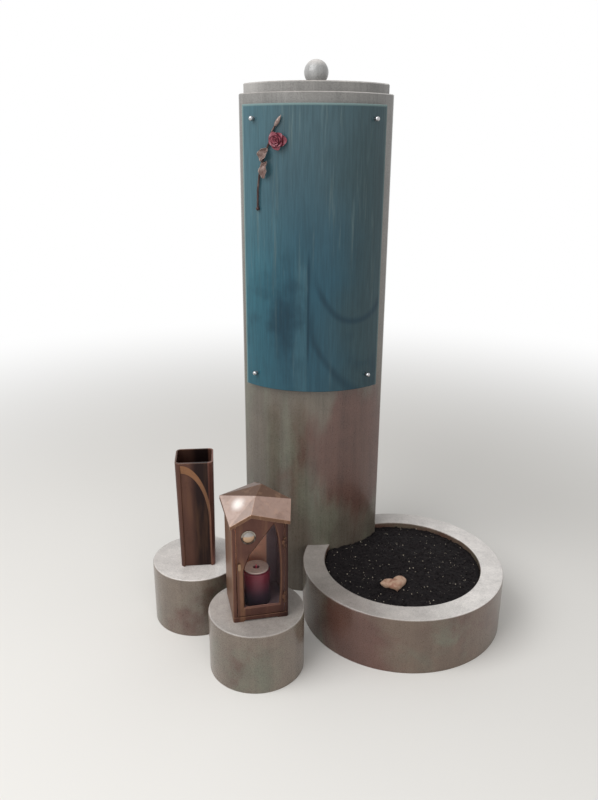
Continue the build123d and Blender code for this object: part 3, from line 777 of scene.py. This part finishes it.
class STELE_OT_glass(bpy.types.Operator):
    """Gives the bent glass its teal veils"""

    bl_idname = "stele.glass"
    bl_label = "Glass"

    def execute(self, context):
        settings = context.scene.stele_glass
        material, tree, shader, place, _ = new_material("teal_glass")
        x, _, z = tree.split(place)
        sway = tree.times(tree.minus(tree.noise(place, 3.2, 3, 0.55, 0.3), 0.5), 0.22)
        left = tree.times(tree.ramp(tree.plus(x, sway), -0.03, -0.17), 0.8)
        right = tree.times(tree.ramp(tree.plus(x, sway), 0.0, 0.13), tree.ramp(z, 1.05, 1.2, 0.75, 0.5))
        high = tree.times(tree.ramp(z, 0.8, 1.22), 0.8)
        base = tree.mix(high, settings.teal, settings.head)
        light = tree.mix(tree.ramp(z, 0.75, 1.05), settings.light_foot, settings.light)
        base = tree.mix(left, base, light)
        base = tree.mix(right, base, settings.smoke)
        base = tree.mix(self.band(tree, x, z, settings), base, settings.light)
        base = tree.mix(self.veils(tree, place, x, z, settings), base, settings.deep)
        long = tree.vector("MULTIPLY", place, (1, 1, 0.06))
        streaks = tree.ramp(tree.noise(long, 90, 3, 0.6), 0.55, 0.78, 0.0, 0.5)
        base = tree.mix(tree.times(streaks, tree.ramp(z, 0.7, 1.0, 0.35, 1.0)), base, settings.streak)
        base = tree.toned(base, tree.ramp(tree.noise(long, 220, 3, 0.6), 0.3, 0.7, 0.88, 1.12))
        # Painted light where the pane's edges catch the light
        low_corner, high_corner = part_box("glass_panel")
        left_rim = tree.ramp(tree.minus(x, low_corner.x), 0.004, 0.001)
        right_rim = tree.ramp(tree.minus(high_corner.x, x), 0.004, 0.001, 0, 0.4)
        top_rim = tree.ramp(tree.minus(high_corner.z, z), 0.006, 0.002)
        painted_edge_light = tree.times(tree.most(left_rim, right_rim, top_rim), 0.7)
        paint(tree, shader, tree.mix(painted_edge_light, base, settings.painted_edge_light), settings.roughness)
        shader.inputs["Specular IOR Level"].default_value = 0.3
        bump(tree, shader, tree.noise(place, 14, 2, 0.5), 0.15, 0.001)
        dress(material, "glass_panel")
        return {"FINISHED"}

    def veils(self, tree, place, x, z, settings):
        """Strength of the dark veils: ring, sweep, cloud, seam and loose wisps in the lower half."""
        flat = tree.vector("MULTIPLY", place, (1, 0, 1))
        flowing = self.swayed(tree, flat, 5.0, 1.0, (0.03, 0, 0.04))
        ring = self.line(tree, flowing, settings.ring_place, 1.25, settings.ring_radius, 0.013)
        ring = tree.times(ring, tree.ramp(z, 0.86, 0.79, 0, 0.75))
        sweep = self.line(tree, flowing, settings.sweep_place, 1.0, settings.sweep_radius, 0.015)
        sweep = tree.times(sweep, tree.ramp(z, 0.79, 0.73, 0, 0.65))
        ragged = self.swayed(tree, flat, 16.0, 4.0, (0.05, 0, 0.12))
        tall = tree.vector("MULTIPLY", tree.vector("SUBTRACT", ragged, settings.cloud_place), (1, 1, 0.32))
        cloud = tree.ramp(tree.measure("LENGTH", tall), 0.055, 0.005, 0, 0.8)
        seam = tree.ramp(tree.math("ABSOLUTE", tree.minus(x, settings.seam)), 0.005, 0.001, 0, 0.9)
        seam = tree.times(seam, tree.ramp(z, 0.6, 0.7), tree.ramp(z, 0.92, 0.86))
        wisps = tree.ramp(tree.noise(flowing, 9.0, 3, 0.5), 0.5, 0.7, 0, 0.5)
        wisps = tree.times(wisps, tree.ramp(z, 1.0, 0.75))
        return tree.most(ring, sweep, seam, cloud, wisps)

    def band(self, tree, x, z, settings):
        """Strength of the paler upright band left of the seam."""
        away = tree.minus(settings.seam, x)
        band = tree.times(tree.ramp(away, 0.0, 0.004), tree.ramp(away, 0.038, 0.026))
        return tree.times(band, tree.ramp(z, 0.92, 0.84, 0, 0.3))

    def swayed(self, tree, place, scale, detail, reach):
        """Place moved about by noise, this far at most each way."""
        inputs = {"Vector": place, "Scale": scale, "Detail": detail}
        sway = tree.add("ShaderNodeTexNoise", inputs).outputs["Color"]
        sway = tree.vector("MULTIPLY", tree.vector("SUBTRACT", sway, (0.5, 0.5, 0.5)), [2 * r for r in reach])
        return tree.vector("ADD", place, sway)

    def line(self, tree, place, middle, squeeze, radius, width):
        """Soft line on a circle round a middle, narrowed across."""
        out = tree.vector("MULTIPLY", tree.vector("SUBTRACT", place, middle), (squeeze, 1, 1))
        away = tree.math("ABSOLUTE", tree.minus(tree.measure("LENGTH", out), radius))
        return tree.ramp(away, width, 0.0)


class STELE_OT_fixings(bpy.types.Operator):
    """Polishes the point fixings of the glass"""

    bl_idname = "stele.fixings"
    bl_label = "Fixings"

    def execute(self, context):
        settings = context.scene.stele_fixings
        steel, dull = settings.steel, settings.roughness
        material, tree, shader, place, _ = new_material("polished_steel")
        scratches = tree.noise(place, 900, 2, 0.5)
        base = tree.mix(scratches, steel, [part * 0.7 for part in steel])
        paint(tree, shader, base, tree.ramp(scratches, 0.3, 0.7, dull, dull + 0.1))
        shader.inputs["Metallic"].default_value = 1.0
        corners = ("lower_left", "lower_right", "upper_left", "upper_right")
        dress(material, *(f"fixing_{part}_{corner}" for part in ("sleeve", "screw") for corner in corners))
        return {"FINISHED"}


def leaf_bronze(settings):
    """Bronze of the rose's bud and leaves, redder in their hollows from patina and painted shade,
    and pale at the rims.
    """
    name = "leaf_bronze"
    if name in bpy.data.materials:
        return bpy.data.materials[name]

    def leaf_colour(tree, place, facing):
        """Redder where the leaf folds in: patina and painted shade."""
        return tree.mix(tree.ramp(tree.hollow(0.009), 0.5, 0.95), settings.leaf_hollow, settings.leaf)

    return bronze_material(
        name, leaf_colour, settings.leaf_hollow, settings.bronze_light,
        scale=320.0, edge=0.0012, rubbed=0.9, roughness=0.5, mottle=0.7, metallic=0.3,
    )


class STELE_OT_rose_stem(bpy.types.Operator):
    """Dresses the rose's stem and bud in bronze"""

    bl_idname = "stele.rose_stem"
    bl_label = "Rose stem and bud"

    def execute(self, context):
        settings = context.scene.stele_rose
        colours = (settings.bronze, settings.bronze_dark, settings.bronze_light)
        stem = bronze_material("stem_bronze", *colours, scale=260.0, edge=0.0008, rubbed=0.15, roughness=0.45)
        dress(stem, "rose_stem")
        dress(leaf_bronze(settings), "rose_bud")
        return {"FINISHED"}


class STELE_OT_rose_leaves(bpy.types.Operator):
    """Makes the two curled leaves"""

    bl_idname = "stele.rose_leaves"
    bl_label = "Rose leaves"

    def execute(self, context):
        settings = context.scene.stele_rose
        self.leaf("rose_leaf_upper_curled", UPPER_LEAF, 0.034, 0.023, 0.9, settings, "rose_leaf_upper")
        self.leaf("rose_leaf_lower_curled", LOWER_LEAF, 0.038, 0.021, -0.8, settings, "rose_leaf_lower")
        return {"FINISHED"}

    def leaf(self, name, seat, span, width, twist, settings, node):
        """Leaf of a span and width, curled up at its edges, crumpled and twisted."""
        rows, columns, thickness = 29, 15, 0.0011
        bend, edge_curl, groove, crumple = 0.1 * span, 0.34 * width, 0.05 * width, 0.07 * width

        def point(row, column):
            """Point of the leaf's sheet, which lies along X."""
            along, side = row / (rows - 1), 2 * column / (columns - 1) - 1
            half = width / 2 * sin(pi * (0.02 + 0.96 * along)) ** 0.8
            across = side * half * (1 - 0.14 * side * side)
            rise = bend * sin(pi * along) + edge_curl * abs(side) ** 2.2 * sin(pi * along) ** 0.6
            rise += crumple * sin(4.5 * pi * along + 2.5 * side) * (0.3 + abs(side))
            rise -= groove * max(0, 1 - 4 * abs(side))
            roll = twist * (along - 0.5)
            y, z = across * cos(roll) - rise * sin(roll) * 0.4, across * sin(roll) + rise * cos(roll)
            return (span * (along - 0.5), y, z)

        degrees, height, lean = seat
        place = on_glass(degrees, height, LEAF_OUT) @ Matrix.Rotation(radians(lean), 4, "Z")
        mesh = finished(sheet_piece(name, grid_mesh(name, rows, columns, point), thickness), place)
        mesh.shade_smooth()
        new_piece(name, mesh, leaf_bronze(settings), "rose_bronze", node)


class STELE_OT_rose_bloom(bpy.types.Operator):
    """Makes the bloom from turned, tilted petals"""

    bl_idname = "stele.rose_bloom"
    bl_label = "Rose bloom"

    def execute(self, context):
        settings = context.scene.stele_rose
        values = {
            "Petals": settings.petals,
            "Turn": settings.turn,
            "Outer Tilt": settings.outer_tilt,
            "Inner Tilt": settings.inner_tilt,
            "Inner Size": settings.inner_size,
            "Seed": settings.seed,
        }
        petal = self.petal(settings)
        material = self.enamel(settings)
        mesh = bpy.data.meshes.new("bloom_seat")
        mesh = grown("bloom_seat", mesh, self.spiral(petal, material), values, on_glass(*BLOOM_SEAT))
        bpy.data.objects.remove(petal)
        mesh.shade_smooth()
        new_piece("rose_petals", mesh, material, "red_enamel", "rose_bloom")
        return {"FINISHED"}

    def petal(self, settings):
        """One petal lying along +X, cupped towards +Z, with its lip rolled outwards."""
        rows, columns, thickness = 9, 9, 0.0007
        span, width = settings.petal_length, settings.petal_width

        def point(row, column):
            """Point of the petal's sheet."""
            along, side = row / (rows - 1), 2 * column / (columns - 1) - 1
            half = width / 2 * sin(pi * (0.1 + 0.68 * along)) ** 0.75
            reach = span * along * (1 - 0.16 * side * side * along * along)
            cup = 0.20 * width * side * side * (0.35 + along)
            lip = 0.22 * span * max(0, along - 0.66) ** 1.6 * 2.4
            return (reach, side * half, cup - lip + 0.10 * span * sin(pi * along))

        return sheet_piece("petal", grid_mesh("petal", rows, columns, point), thickness)

    def enamel(self, settings):
        """Red enamel, with painted shade in the depths of the bloom."""
        material, tree, shader, place, _ = new_material("red_enamel")
        mottle = tree.noise(place, 420, 4, 0.6)
        base = tree.mix(tree.ramp(mottle, 0.42, 0.7, 0.0, 0.7), settings.petal_red, settings.petal_shade)
        # Painted shade in the hollows between the petals
        base = tree.mix(tree.ramp(tree.hollow(0.006), 0.35, 0.95), settings.petal_shade, base)
        paint(tree, shader, base, tree.ramp(mottle, 0.3, 0.7, 0.32, 0.5))
        bump(tree, shader, mottle, 0.2, 0.0002)
        return material

    def spiral(self, petal, material):
        """Petals on the golden turn: each is smaller, steeper and higher than the one before."""
        climb, sway_reach = 0.0045, 0.12
        inputs = {
            "Geometry": ["Geometry"],
            "Int": ("Petals", "Seed"),
            "Float": ("Turn", "Outer Tilt", "Inner Tilt", "Inner Size"),
        }
        tree, given, end = new_group("GeometryNodeTree", "petal_spiral", inputs, {"Geometry": ["Geometry"]})
        line = tree.add("GeometryNodeMeshLine", {"Count": given["Petals"], "Offset": (0, 0, 0)})
        index = tree.add("GeometryNodeInputIndex").outputs[0]
        step = tree.math("DIVIDE", index, tree.minus(given["Petals"], 1.0))
        slope = tree.minus(given["Inner Tilt"], given["Outer Tilt"])
        tilt = tree.plus(given["Outer Tilt"], tree.times(slope, tree.math("POWER", step, 0.8)))
        size = tree.plus(1.0, tree.times(tree.minus(given["Inner Size"], 1.0), step))
        lift = tree.add("ShaderNodeCombineXYZ", {2: tree.times(step, climb)}).outputs[0]
        seats = tree.add("GeometryNodeSetPosition", {"Geometry": line.outputs[0], "Offset": lift}).outputs[0]
        inputs = {2: -sway_reach, 3: sway_reach, "Seed": given["Seed"]}
        sway = tree.add("FunctionNodeRandomValue", inputs, data_type="FLOAT").outputs[1]
        spin = tree.plus(tree.times(index, given["Turn"]), sway)
        turn = tree.add("ShaderNodeCombineXYZ", {0: sway, 1: tree.times(tilt, -1.0), 2: spin}).outputs[0]
        shape = tree.add("GeometryNodeObjectInfo", {"Object": petal}, transform_space="ORIGINAL")
        return scattered(tree, end, seats, shape.outputs["Geometry"], turn, size, material)


class STELE_OT_soil(bpy.types.Operator):
    """Fills the planter ring with soil, crumbs and pale grains"""

    bl_idname = "stele.soil"
    bl_label = "Soil"

    def execute(self, context):
        settings = context.scene.stele_soil
        soil = self.material("dark_soil", settings.dark, settings.brown, 180)
        grain = self.material("pale_grains", settings.speck, [part * 0.75 for part in settings.speck], 900)
        mesh = self.bed(settings)
        new_piece("soil_bed", mesh, soil, "dark_soil", "planter_soil")
        self.scatter("soil_crumbs", mesh, soil, settings.crumbs, settings.crumb_size, settings.seed)
        self.scatter("soil_grains", mesh, grain, settings.specks, settings.speck_size, settings.seed + 1)
        mesh.shade_smooth()
        return {"FINISHED"}

    def reach(self, turn):
        """Distance from the planter's centre to the bore or, nearer, to the stele's face."""
        dx, dy = cos(turn), sin(turn)
        cx, cy = PLANTER_CENTRE
        far, flank, radius = PLANTER_BORE - SOIL_GAP, STELE_WIDTH / 2 + SOIL_GAP, FACE_RADIUS + SOIL_GAP
        if dx < 0:
            hit = (flank - cx) / dx
            front = GLASS_AXIS_Y - sqrt(radius**2 - flank**2)
            if hit > 0 and cy + hit * dy > front:
                far = min(far, hit)
        oy = cy - GLASS_AXIS_Y
        middle = cx * dx + oy * dy
        under = middle**2 - (cx**2 + oy**2 - radius**2)
        if under > 0:
            hit = -middle - sqrt(under)
            if hit > 0 and abs(cx + hit * dx) <= flank:
                far = min(far, hit)
        return far

    def bed(self, settings):
        """Closed body of soil from the ground up to a lumpy top."""
        rings, spokes = 46, 240
        cx, cy = PLANTER_CENTRE
        level, ceiling = PLANTER_TOP - settings.below, PLANTER_TOP - 0.001

        def point(row, column):
            """Point of the top, from the middle out, then of the side and the foot."""
            turn = -2 * pi * column / spokes
            part = row / rings if row <= rings else rings + 2 - row
            out = part * self.reach(turn)
            x, y = cx + out * cos(turn), cy + out * sin(turn)
            if row > rings:
                return (x, y, 0)
            away = hypot(x - cx, y - cy) / PLANTER_BORE
            rise = settings.mound * (1 - away * away)
            lump = noise.fractal(Vector((x * 34, y * 34, 1.5)), 0.8, 2.1, 4) * settings.lumps
            crumbly = noise.fractal(Vector((x * 150, y * 150, 4.5)), 0.7, 2.0, 3) * settings.lumps * 0.45
            return (x, y, min(level + rise + lump + crumbly, ceiling))

        mesh = grid_mesh("soil_bed", rings + 3, spokes, point, closed=True)
        weld(mesh)
        return mesh

    def material(self, name, first, second, scale):
        """Rough mottled ground of two colours."""
        material, tree, shader, place, _ = new_material(name)
        mottle = tree.noise(place, scale, 5, 0.7)
        base = tree.mix(tree.ramp(mottle, 0.4, 0.72), first, second)
        paint(tree, shader, base, tree.ramp(mottle, 0.3, 0.7, 0.95, 0.75))
        shader.inputs["Specular IOR Level"].default_value = 0.2
        bump(tree, shader, tree.noise(place, scale * 4, 5, 0.7), 0.7, 0.0015)
        return material

    def scatter(self, name, mesh, material, density, size, seed):
        """Small lumps scattered over the top of the soil."""
        inputs = {"Geometry": ["Geometry"], "Float": ("Density", "Size"), "Int": ["Seed"]}
        tree, given, end = new_group("GeometryNodeTree", name, inputs, {"Geometry": ["Geometry"]})

        def chance(low, high, kind):
            """Random value node for each lump."""
            inputs = {"Seed": given["Seed"]}
            first = 0 if kind == "FLOAT_VECTOR" else 2
            inputs.update({first: low, first + 1: high})
            return tree.add("FunctionNodeRandomValue", inputs, data_type=kind).outputs

        up = tree.split(tree.add("GeometryNodeInputNormal").outputs[0])[2]
        inputs = {"Mesh": given["Geometry"], "Selection": tree.math("GREATER_THAN", up, 0.5)}
        inputs.update({"Density": given["Density"], "Seed": given["Seed"]})
        points = tree.add("GeometryNodeDistributePointsOnFaces", inputs, distribute_method="RANDOM")
        ball = tree.add("GeometryNodeMeshIcoSphere", {"Radius": 0.5, "Subdivisions": 1})
        small = tree.times(given["Size"], 0.3)
        large_share = tree.math("POWER", chance(0.0, 1.0, "FLOAT")[1], 3.0)
        scale = tree.plus(small, tree.times(tree.minus(given["Size"], small), large_share))
        spin = chance((0, 0, 0), (6.28, 6.28, 6.28), "FLOAT_VECTOR")[0]
        squeeze = chance((0.7, 0.8, 0.5), (1.3, 1.1, 1.0), "FLOAT_VECTOR")[0]
        sized = tree.add("ShaderNodeVectorMath", {0: squeeze, "Scale": scale}, operation="SCALE").outputs[0]
        points, lump = points.outputs["Points"], ball.outputs["Mesh"]
        group = scattered(tree, end, points, lump, spin, sized, material)
        values = {"Density": density, "Size": size, "Seed": seed}
        new_piece(name, grown(name, mesh, group, values), material, "dark_soil")


class STELE_OT_heart(bpy.types.Operator):
    """Lays the heart-shaped stone on the soil"""

    bl_idname = "stele.heart"
    bl_label = "Heart stone"

    def execute(self, context):
        settings = context.scene.stele_heart
        rows, spokes = 17, 64
        scale = settings.width / 32

        def point(row, column):
            """Point of a rounded slab whose outline is a heart 32 units wide, with its tip along -Y."""
            turn, lift = -2 * pi * column / spokes, pi * (row / (rows - 1) - 0.5)
            part = cos(lift) ** 0.6 if 0 < row < rows - 1 else 0
            x = 16 * sin(turn) ** 3
            y = 13 * cos(turn) - 5 * cos(2 * turn) - 2 * cos(3 * turn) - cos(4 * turn) + 2
            y *= 0.76 + 0.17 * x / 16
            place = Vector((part * x * scale, part * y * scale, settings.thickness / 2 * sin(lift)))
            return place + noise.noise_vector(place * 90) * 0.0016

        noise.seed_set(settings.seed)
        mesh = grid_mesh("heart_stone", rows, spokes, point, closed=True)
        weld(mesh)
        turn, tilt = Matrix.Rotation(settings.turn, 4, "Z"), Matrix.Rotation(settings.tilt, 4, "X")
        mesh.transform(Matrix.Translation(settings.place) @ turn @ tilt)
        mesh.shade_smooth()
        material, tree, shader, place, _ = new_material("sandy_stone")
        veins = tree.ramp(tree.noise(place, 70, 4, 0.6, 0.5), 0.42, 0.66)
        base = tree.mix(veins, settings.pale, settings.warm)
        paint(tree, shader, base, tree.ramp(veins, 0, 1, 0.55, 0.7))
        bump(tree, shader, tree.noise(place, 500, 3, 0.6), 0.3, 0.0006)
        new_piece("heart_stone", mesh, material, "polished_gneiss")
        return {"FINISHED"}


class STELE_OT_lantern_case(bpy.types.Operator):
    """Dresses the lantern's walls, tray, door and fittings"""

    bl_idname = "stele.lantern_case"
    bl_label = "Lantern case"

    def execute(self, context):
        settings = context.scene.stele_lantern
        dark, light = settings.bronze_dark, settings.bronze_light

        def case_colour(tree, place, facing):
            """Golden painted light inside, greyer painted light on the left wall, painted shade on the right,
            and a painted highlight band down the left.
            """
            x, _, height = self.lantern_place(tree, place)
            across, towards, _ = tree.turned(facing, LANTERN_TURN)
            # Painted shade towards the right
            base = tree.mix(tree.ramp(x, 0.025, 0.06, 0, 0.8), settings.bronze, dark)
            # Painted light on faces turned to the left
            base = tree.mix(tree.ramp(across, -0.5, -0.9, 0, 0.45), base, light)
            # Painted highlight down the left side of the door
            stile = tree.ramp(tree.math("ABSOLUTE", tree.plus(x, 0.041)), 0.009, 0.002)
            stile = tree.times(stile, tree.ramp(towards, -0.6, -0.9), tree.ramp(height, 0.32, 0.27, 0, 0.4))
            base = tree.mix(stile, base, light)
            # Painted pool of light inside the case, where the window lets light fall
            golden = tree.times(tree.ramp(x, 0.036, 0.031), tree.ramp(height, 0.17, 0.19))
            lit = tree.mix(golden, settings.inside_dark, settings.inside)
            return tree.mix(self.inside(tree, place), base, lit)

        def shine(tree, place):
            """Metallic outside only."""
            return tree.ramp(self.inside(tree, place), 0, 1, 0.75, 0.0)

        def bezel_painted_reflection(tree, place, facing):
            """Painted reflection: silvery above, dark below."""
            low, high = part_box("porthole_bezel")
            height = tree.ramp(tree.split(place)[2], low.z, high.z)
            return tree.mix(tree.ramp(height, 0.45, 0.75), settings.bezel_dark, settings.bezel)

        case = bronze_material(
            "lantern_bronze", case_colour, dark, light,
            scale=55.0, edge=0.0022, rubbed=0.5, roughness=settings.roughness, mottle=0.25, metallic=shine,
        )
        brass = bronze_material(
            "fittings_brass", settings.brass, [part * 0.4 for part in settings.brass], settings.brass,
            scale=200.0, edge=0.0006, rubbed=0.6, roughness=0.3,
        )
        bezel = bronze_material(
            "porthole_ring", bezel_painted_reflection, settings.bezel_dark, settings.bezel,
            scale=240.0, edge=0.0008, rubbed=0.2, roughness=0.26,
        )
        dress(case, "lantern_walls", "lantern_tray", "lantern_door")
        dress(brass, "door_latch", "hinge_pin_lower", "hinge_pin_upper")
        dress(bezel, "porthole_bezel")
        return {"FINISHED"}

    def lantern_place(self, tree, place):
        """Place in the lantern's own axes."""
        return tree.turned(tree.vector("SUBTRACT", place, LANTERN_CENTRE), LANTERN_TURN)

    def inside(self, tree, place):
        """1 inside the case."""
        x, y, _ = self.lantern_place(tree, place)
        out = tree.most(tree.math("ABSOLUTE", x), tree.math("ABSOLUTE", y))
        return tree.ramp(out, LANTERN_INSIDE, LANTERN_INSIDE - 0.001)


class STELE_OT_lantern_roof(bpy.types.Operator):
    """Dresses the folded roof in copper, darker on its upper slopes"""

    bl_idname = "stele.lantern_roof"
    bl_label = "Lantern roof"

    def execute(self, context):
        settings = context.scene.stele_lantern
        dark = settings.copper_dark

        def roof_colour(tree, place, facing):
            """Painted light: pale towards the light with a painted highlight on the left slope, duller away
            from it;
            dark above and golden on the lip.
            """
            across, _, up = tree.split(facing)
            lower = tree.mix(tree.ramp(across, -0.2, 0.3), settings.copper_pale, settings.copper)
            # Painted highlight on the left slope
            away = tree.measure("DISTANCE", place, settings.painted_glint_place)
            lower = tree.mix(tree.ramp(away, settings.painted_glint_size, 0.0, 0, 0.85), lower, settings.painted_glint)
            cloud = tree.noise(place, 38, 4, 0.6, 0.5)
            lower = tree.mix(tree.ramp(cloud, 0.5, 0.75, 0.0, 0.3), lower, dark)
            base = tree.mix(tree.ramp(up, 0.82, 0.85), lower, dark)
            return tree.mix(tree.ramp(up, 0.3, 0.1), base, settings.copper_lip)

        material = bronze_material(
            "roof_copper", roof_colour, dark, settings.copper_edge,
            scale=90.0, edge=0.0018, rubbed=0.8, roughness=0.34, mottle=0.2,
        )
        dress(material, "lantern_roof")
        return {"FINISHED"}


class STELE_OT_lantern_glass(bpy.types.Operator):
    """Glazes the lantern's door and porthole"""

    bl_idname = "stele.lantern_glass"
    bl_label = "Lantern glass"

    def execute(self, context):
        settings = context.scene.stele_lantern
        self.pane("window_glass", "door_glass", settings.pane, settings.pane, 0.04, settings.pane_clear)
        # The porthole's silvery upper part is a painted reflection
        self.pane("porthole_amber", "porthole_glass", settings.porthole_painted_sky, settings.porthole, 0.15, 0.1)
        return {"FINISHED"}

    def pane(self, name, node, above, below, roughness, clear):
        """Tinted glass, of which a share is clear: one colour in its upper part and one below."""
        material, tree, shader, place, _ = new_material(name)
        low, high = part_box(node)
        part = tree.ramp(tree.split(place)[2], (low.z + high.z) / 2, 0.3 * low.z + 0.7 * high.z)
        mottle = tree.ramp(tree.noise(place, 60, 2, 0.5), 0.3, 0.7, 0.75, 1.0)
        paint(tree, shader, tree.toned(tree.mix(part, below, above), mottle), roughness)
        shader.inputs["Alpha"].default_value = 1 - clear
        dress(material, node)


class STELE_OT_candle(bpy.types.Operator):
    """Colours the candle in the lantern"""

    bl_idname = "stele.candle"
    bl_label = "Candle"

    def execute(self, context):
        settings = context.scene.stele_lantern
        self.part("candle_red", settings.candle, settings.candle_foot, 0.3, "candle_cup")
        self.part("candle_lid", settings.lid, settings.lid_side, 0.35, "candle_lid")
        self.part("candle_wick", settings.wick, settings.wick, 0.6, "candle_wick")
        return {"FINISHED"}

    def part(self, name, above, below, roughness, node):
        """Mottled colour that changes from the node's foot to its top."""
        material, tree, shader, place, _ = new_material(name)
        low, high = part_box(node)
        tint = tree.mix(tree.ramp(tree.split(place)[2], 0.8 * low.z + 0.2 * high.z, high.z), below, above)
        mottle = tree.noise(place, 160, 3, 0.6)
        shade = tree.mix(1.0, tint, (0.6, 0.6, 0.6), "MULTIPLY")
        base = tree.mix(tree.ramp(mottle, 0.4, 0.7, 0.0, 0.3), tint, shade)
        paint(tree, shader, base, tree.ramp(mottle, 0.3, 0.7, roughness, roughness + 0.15))
        bump(tree, shader, mottle, 0.1, 0.0005)
        dress(material, node)


class STELE_OT_vase(bpy.types.Operator):
    """Dresses the vase in brown bronze"""

    bl_idname = "stele.vase"
    bl_label = "Vase"

    def execute(self, context):
        settings = context.scene.stele_vase
        dark = settings.bronze_dark

        def vase_colour(tree, place, facing):
            """Painted shade towards the right; the arch's splay rubbed bright and given painted light."""
            x = tree.minus(tree.turned(place, VASE_TURN)[0], VASE_MIDDLE)
            across, towards, up = tree.turned(facing, VASE_TURN)
            # Painted shade towards the right
            shade = tree.times(tree.ramp(x, -0.016, 0.006), tree.ramp(x, 0.033, 0.030))
            base = tree.mix(shade, settings.bronze, dark)
            # Redder right strip, lightened as painted light
            base = tree.mix(tree.ramp(x, 0.030, 0.034, 0, 0.7), base, settings.side)
            side = tree.times(tree.ramp(across, -0.12, -0.25), tree.ramp(x, 0.0, 0.01, 0, 0.35))
            # Rubbed bronze and painted light on the splay, by facing
            splay = tree.most(tree.ramp(up, -0.03, -0.07), side)
            splay = tree.times(splay, tree.ramp(x, 0.0, 0.035, 1, 0.5), tree.ramp(towards, -0.5, -0.8))
            return tree.mix(splay, base, settings.hood)

        material = bronze_material(
            "vase_bronze", vase_colour, dark, settings.bronze_light,
            scale=48.0, edge=0.0016, rubbed=0.6, roughness=settings.roughness, mottle=0.2,
        )
        dress(material, "vase_body")
        return {"FINISHED"}


SETTINGS = {
    "stele_stage": StageSettings,
    "stele_stone": StoneSettings,
    "stele_glass": GlassSettings,
    "stele_fixings": FixingSettings,
    "stele_rose": RoseSettings,
    "stele_soil": SoilSettings,
    "stele_heart": HeartSettings,
    "stele_lantern": LanternSettings,
    "stele_vase": VaseSettings,
}

OPERATORS = (
    STELE_OT_stage,
    STELE_OT_stone,
    STELE_OT_glass,
    STELE_OT_fixings,
    STELE_OT_rose_stem,
    STELE_OT_rose_leaves,
    STELE_OT_rose_bloom,
    STELE_OT_soil,
    STELE_OT_heart,
    STELE_OT_lantern_case,
    STELE_OT_lantern_roof,
    STELE_OT_lantern_glass,
    STELE_OT_candle,
    STELE_OT_vase,
)


class STELE_PT_looks(bpy.types.Panel):
    """Lists the operators that dress the headstone"""

    bl_idname = "STELE_PT_looks"
    bl_label = "Stele headstone"
    bl_space_type = "VIEW_3D"
    bl_region_type = "UI"
    bl_category = "Stele"

    def draw(self, context):
        for operator in OPERATORS:
            self.layout.operator(operator.bl_idname)
        for name in SETTINGS:
            box = self.layout.box()
            group = getattr(context.scene, name)
            for key in group.__annotations__:
                box.prop(group, key)


CLASSES = (*SETTINGS.values(), *OPERATORS, STELE_PT_looks)


def register():
    """Registers the settings, operators and panel."""
    for item in CLASSES:
        bpy.utils.register_class(item)
    for name, settings in SETTINGS.items():
        setattr(bpy.types.Scene, name, PointerProperty(type=settings))


def unregister():
    """Takes the settings, operators and panel away again."""
    for name in SETTINGS:
        delattr(bpy.types.Scene, name)
    for item in reversed(CLASSES):
        bpy.utils.unregister_class(item)


def main():
    """Dresses the whole headstone."""
    register()
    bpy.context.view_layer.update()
    for operator in OPERATORS:
        group, name = operator.bl_idname.split(".")
        getattr(getattr(bpy.ops, group), name)()


if __name__ == "__main__":
    main()
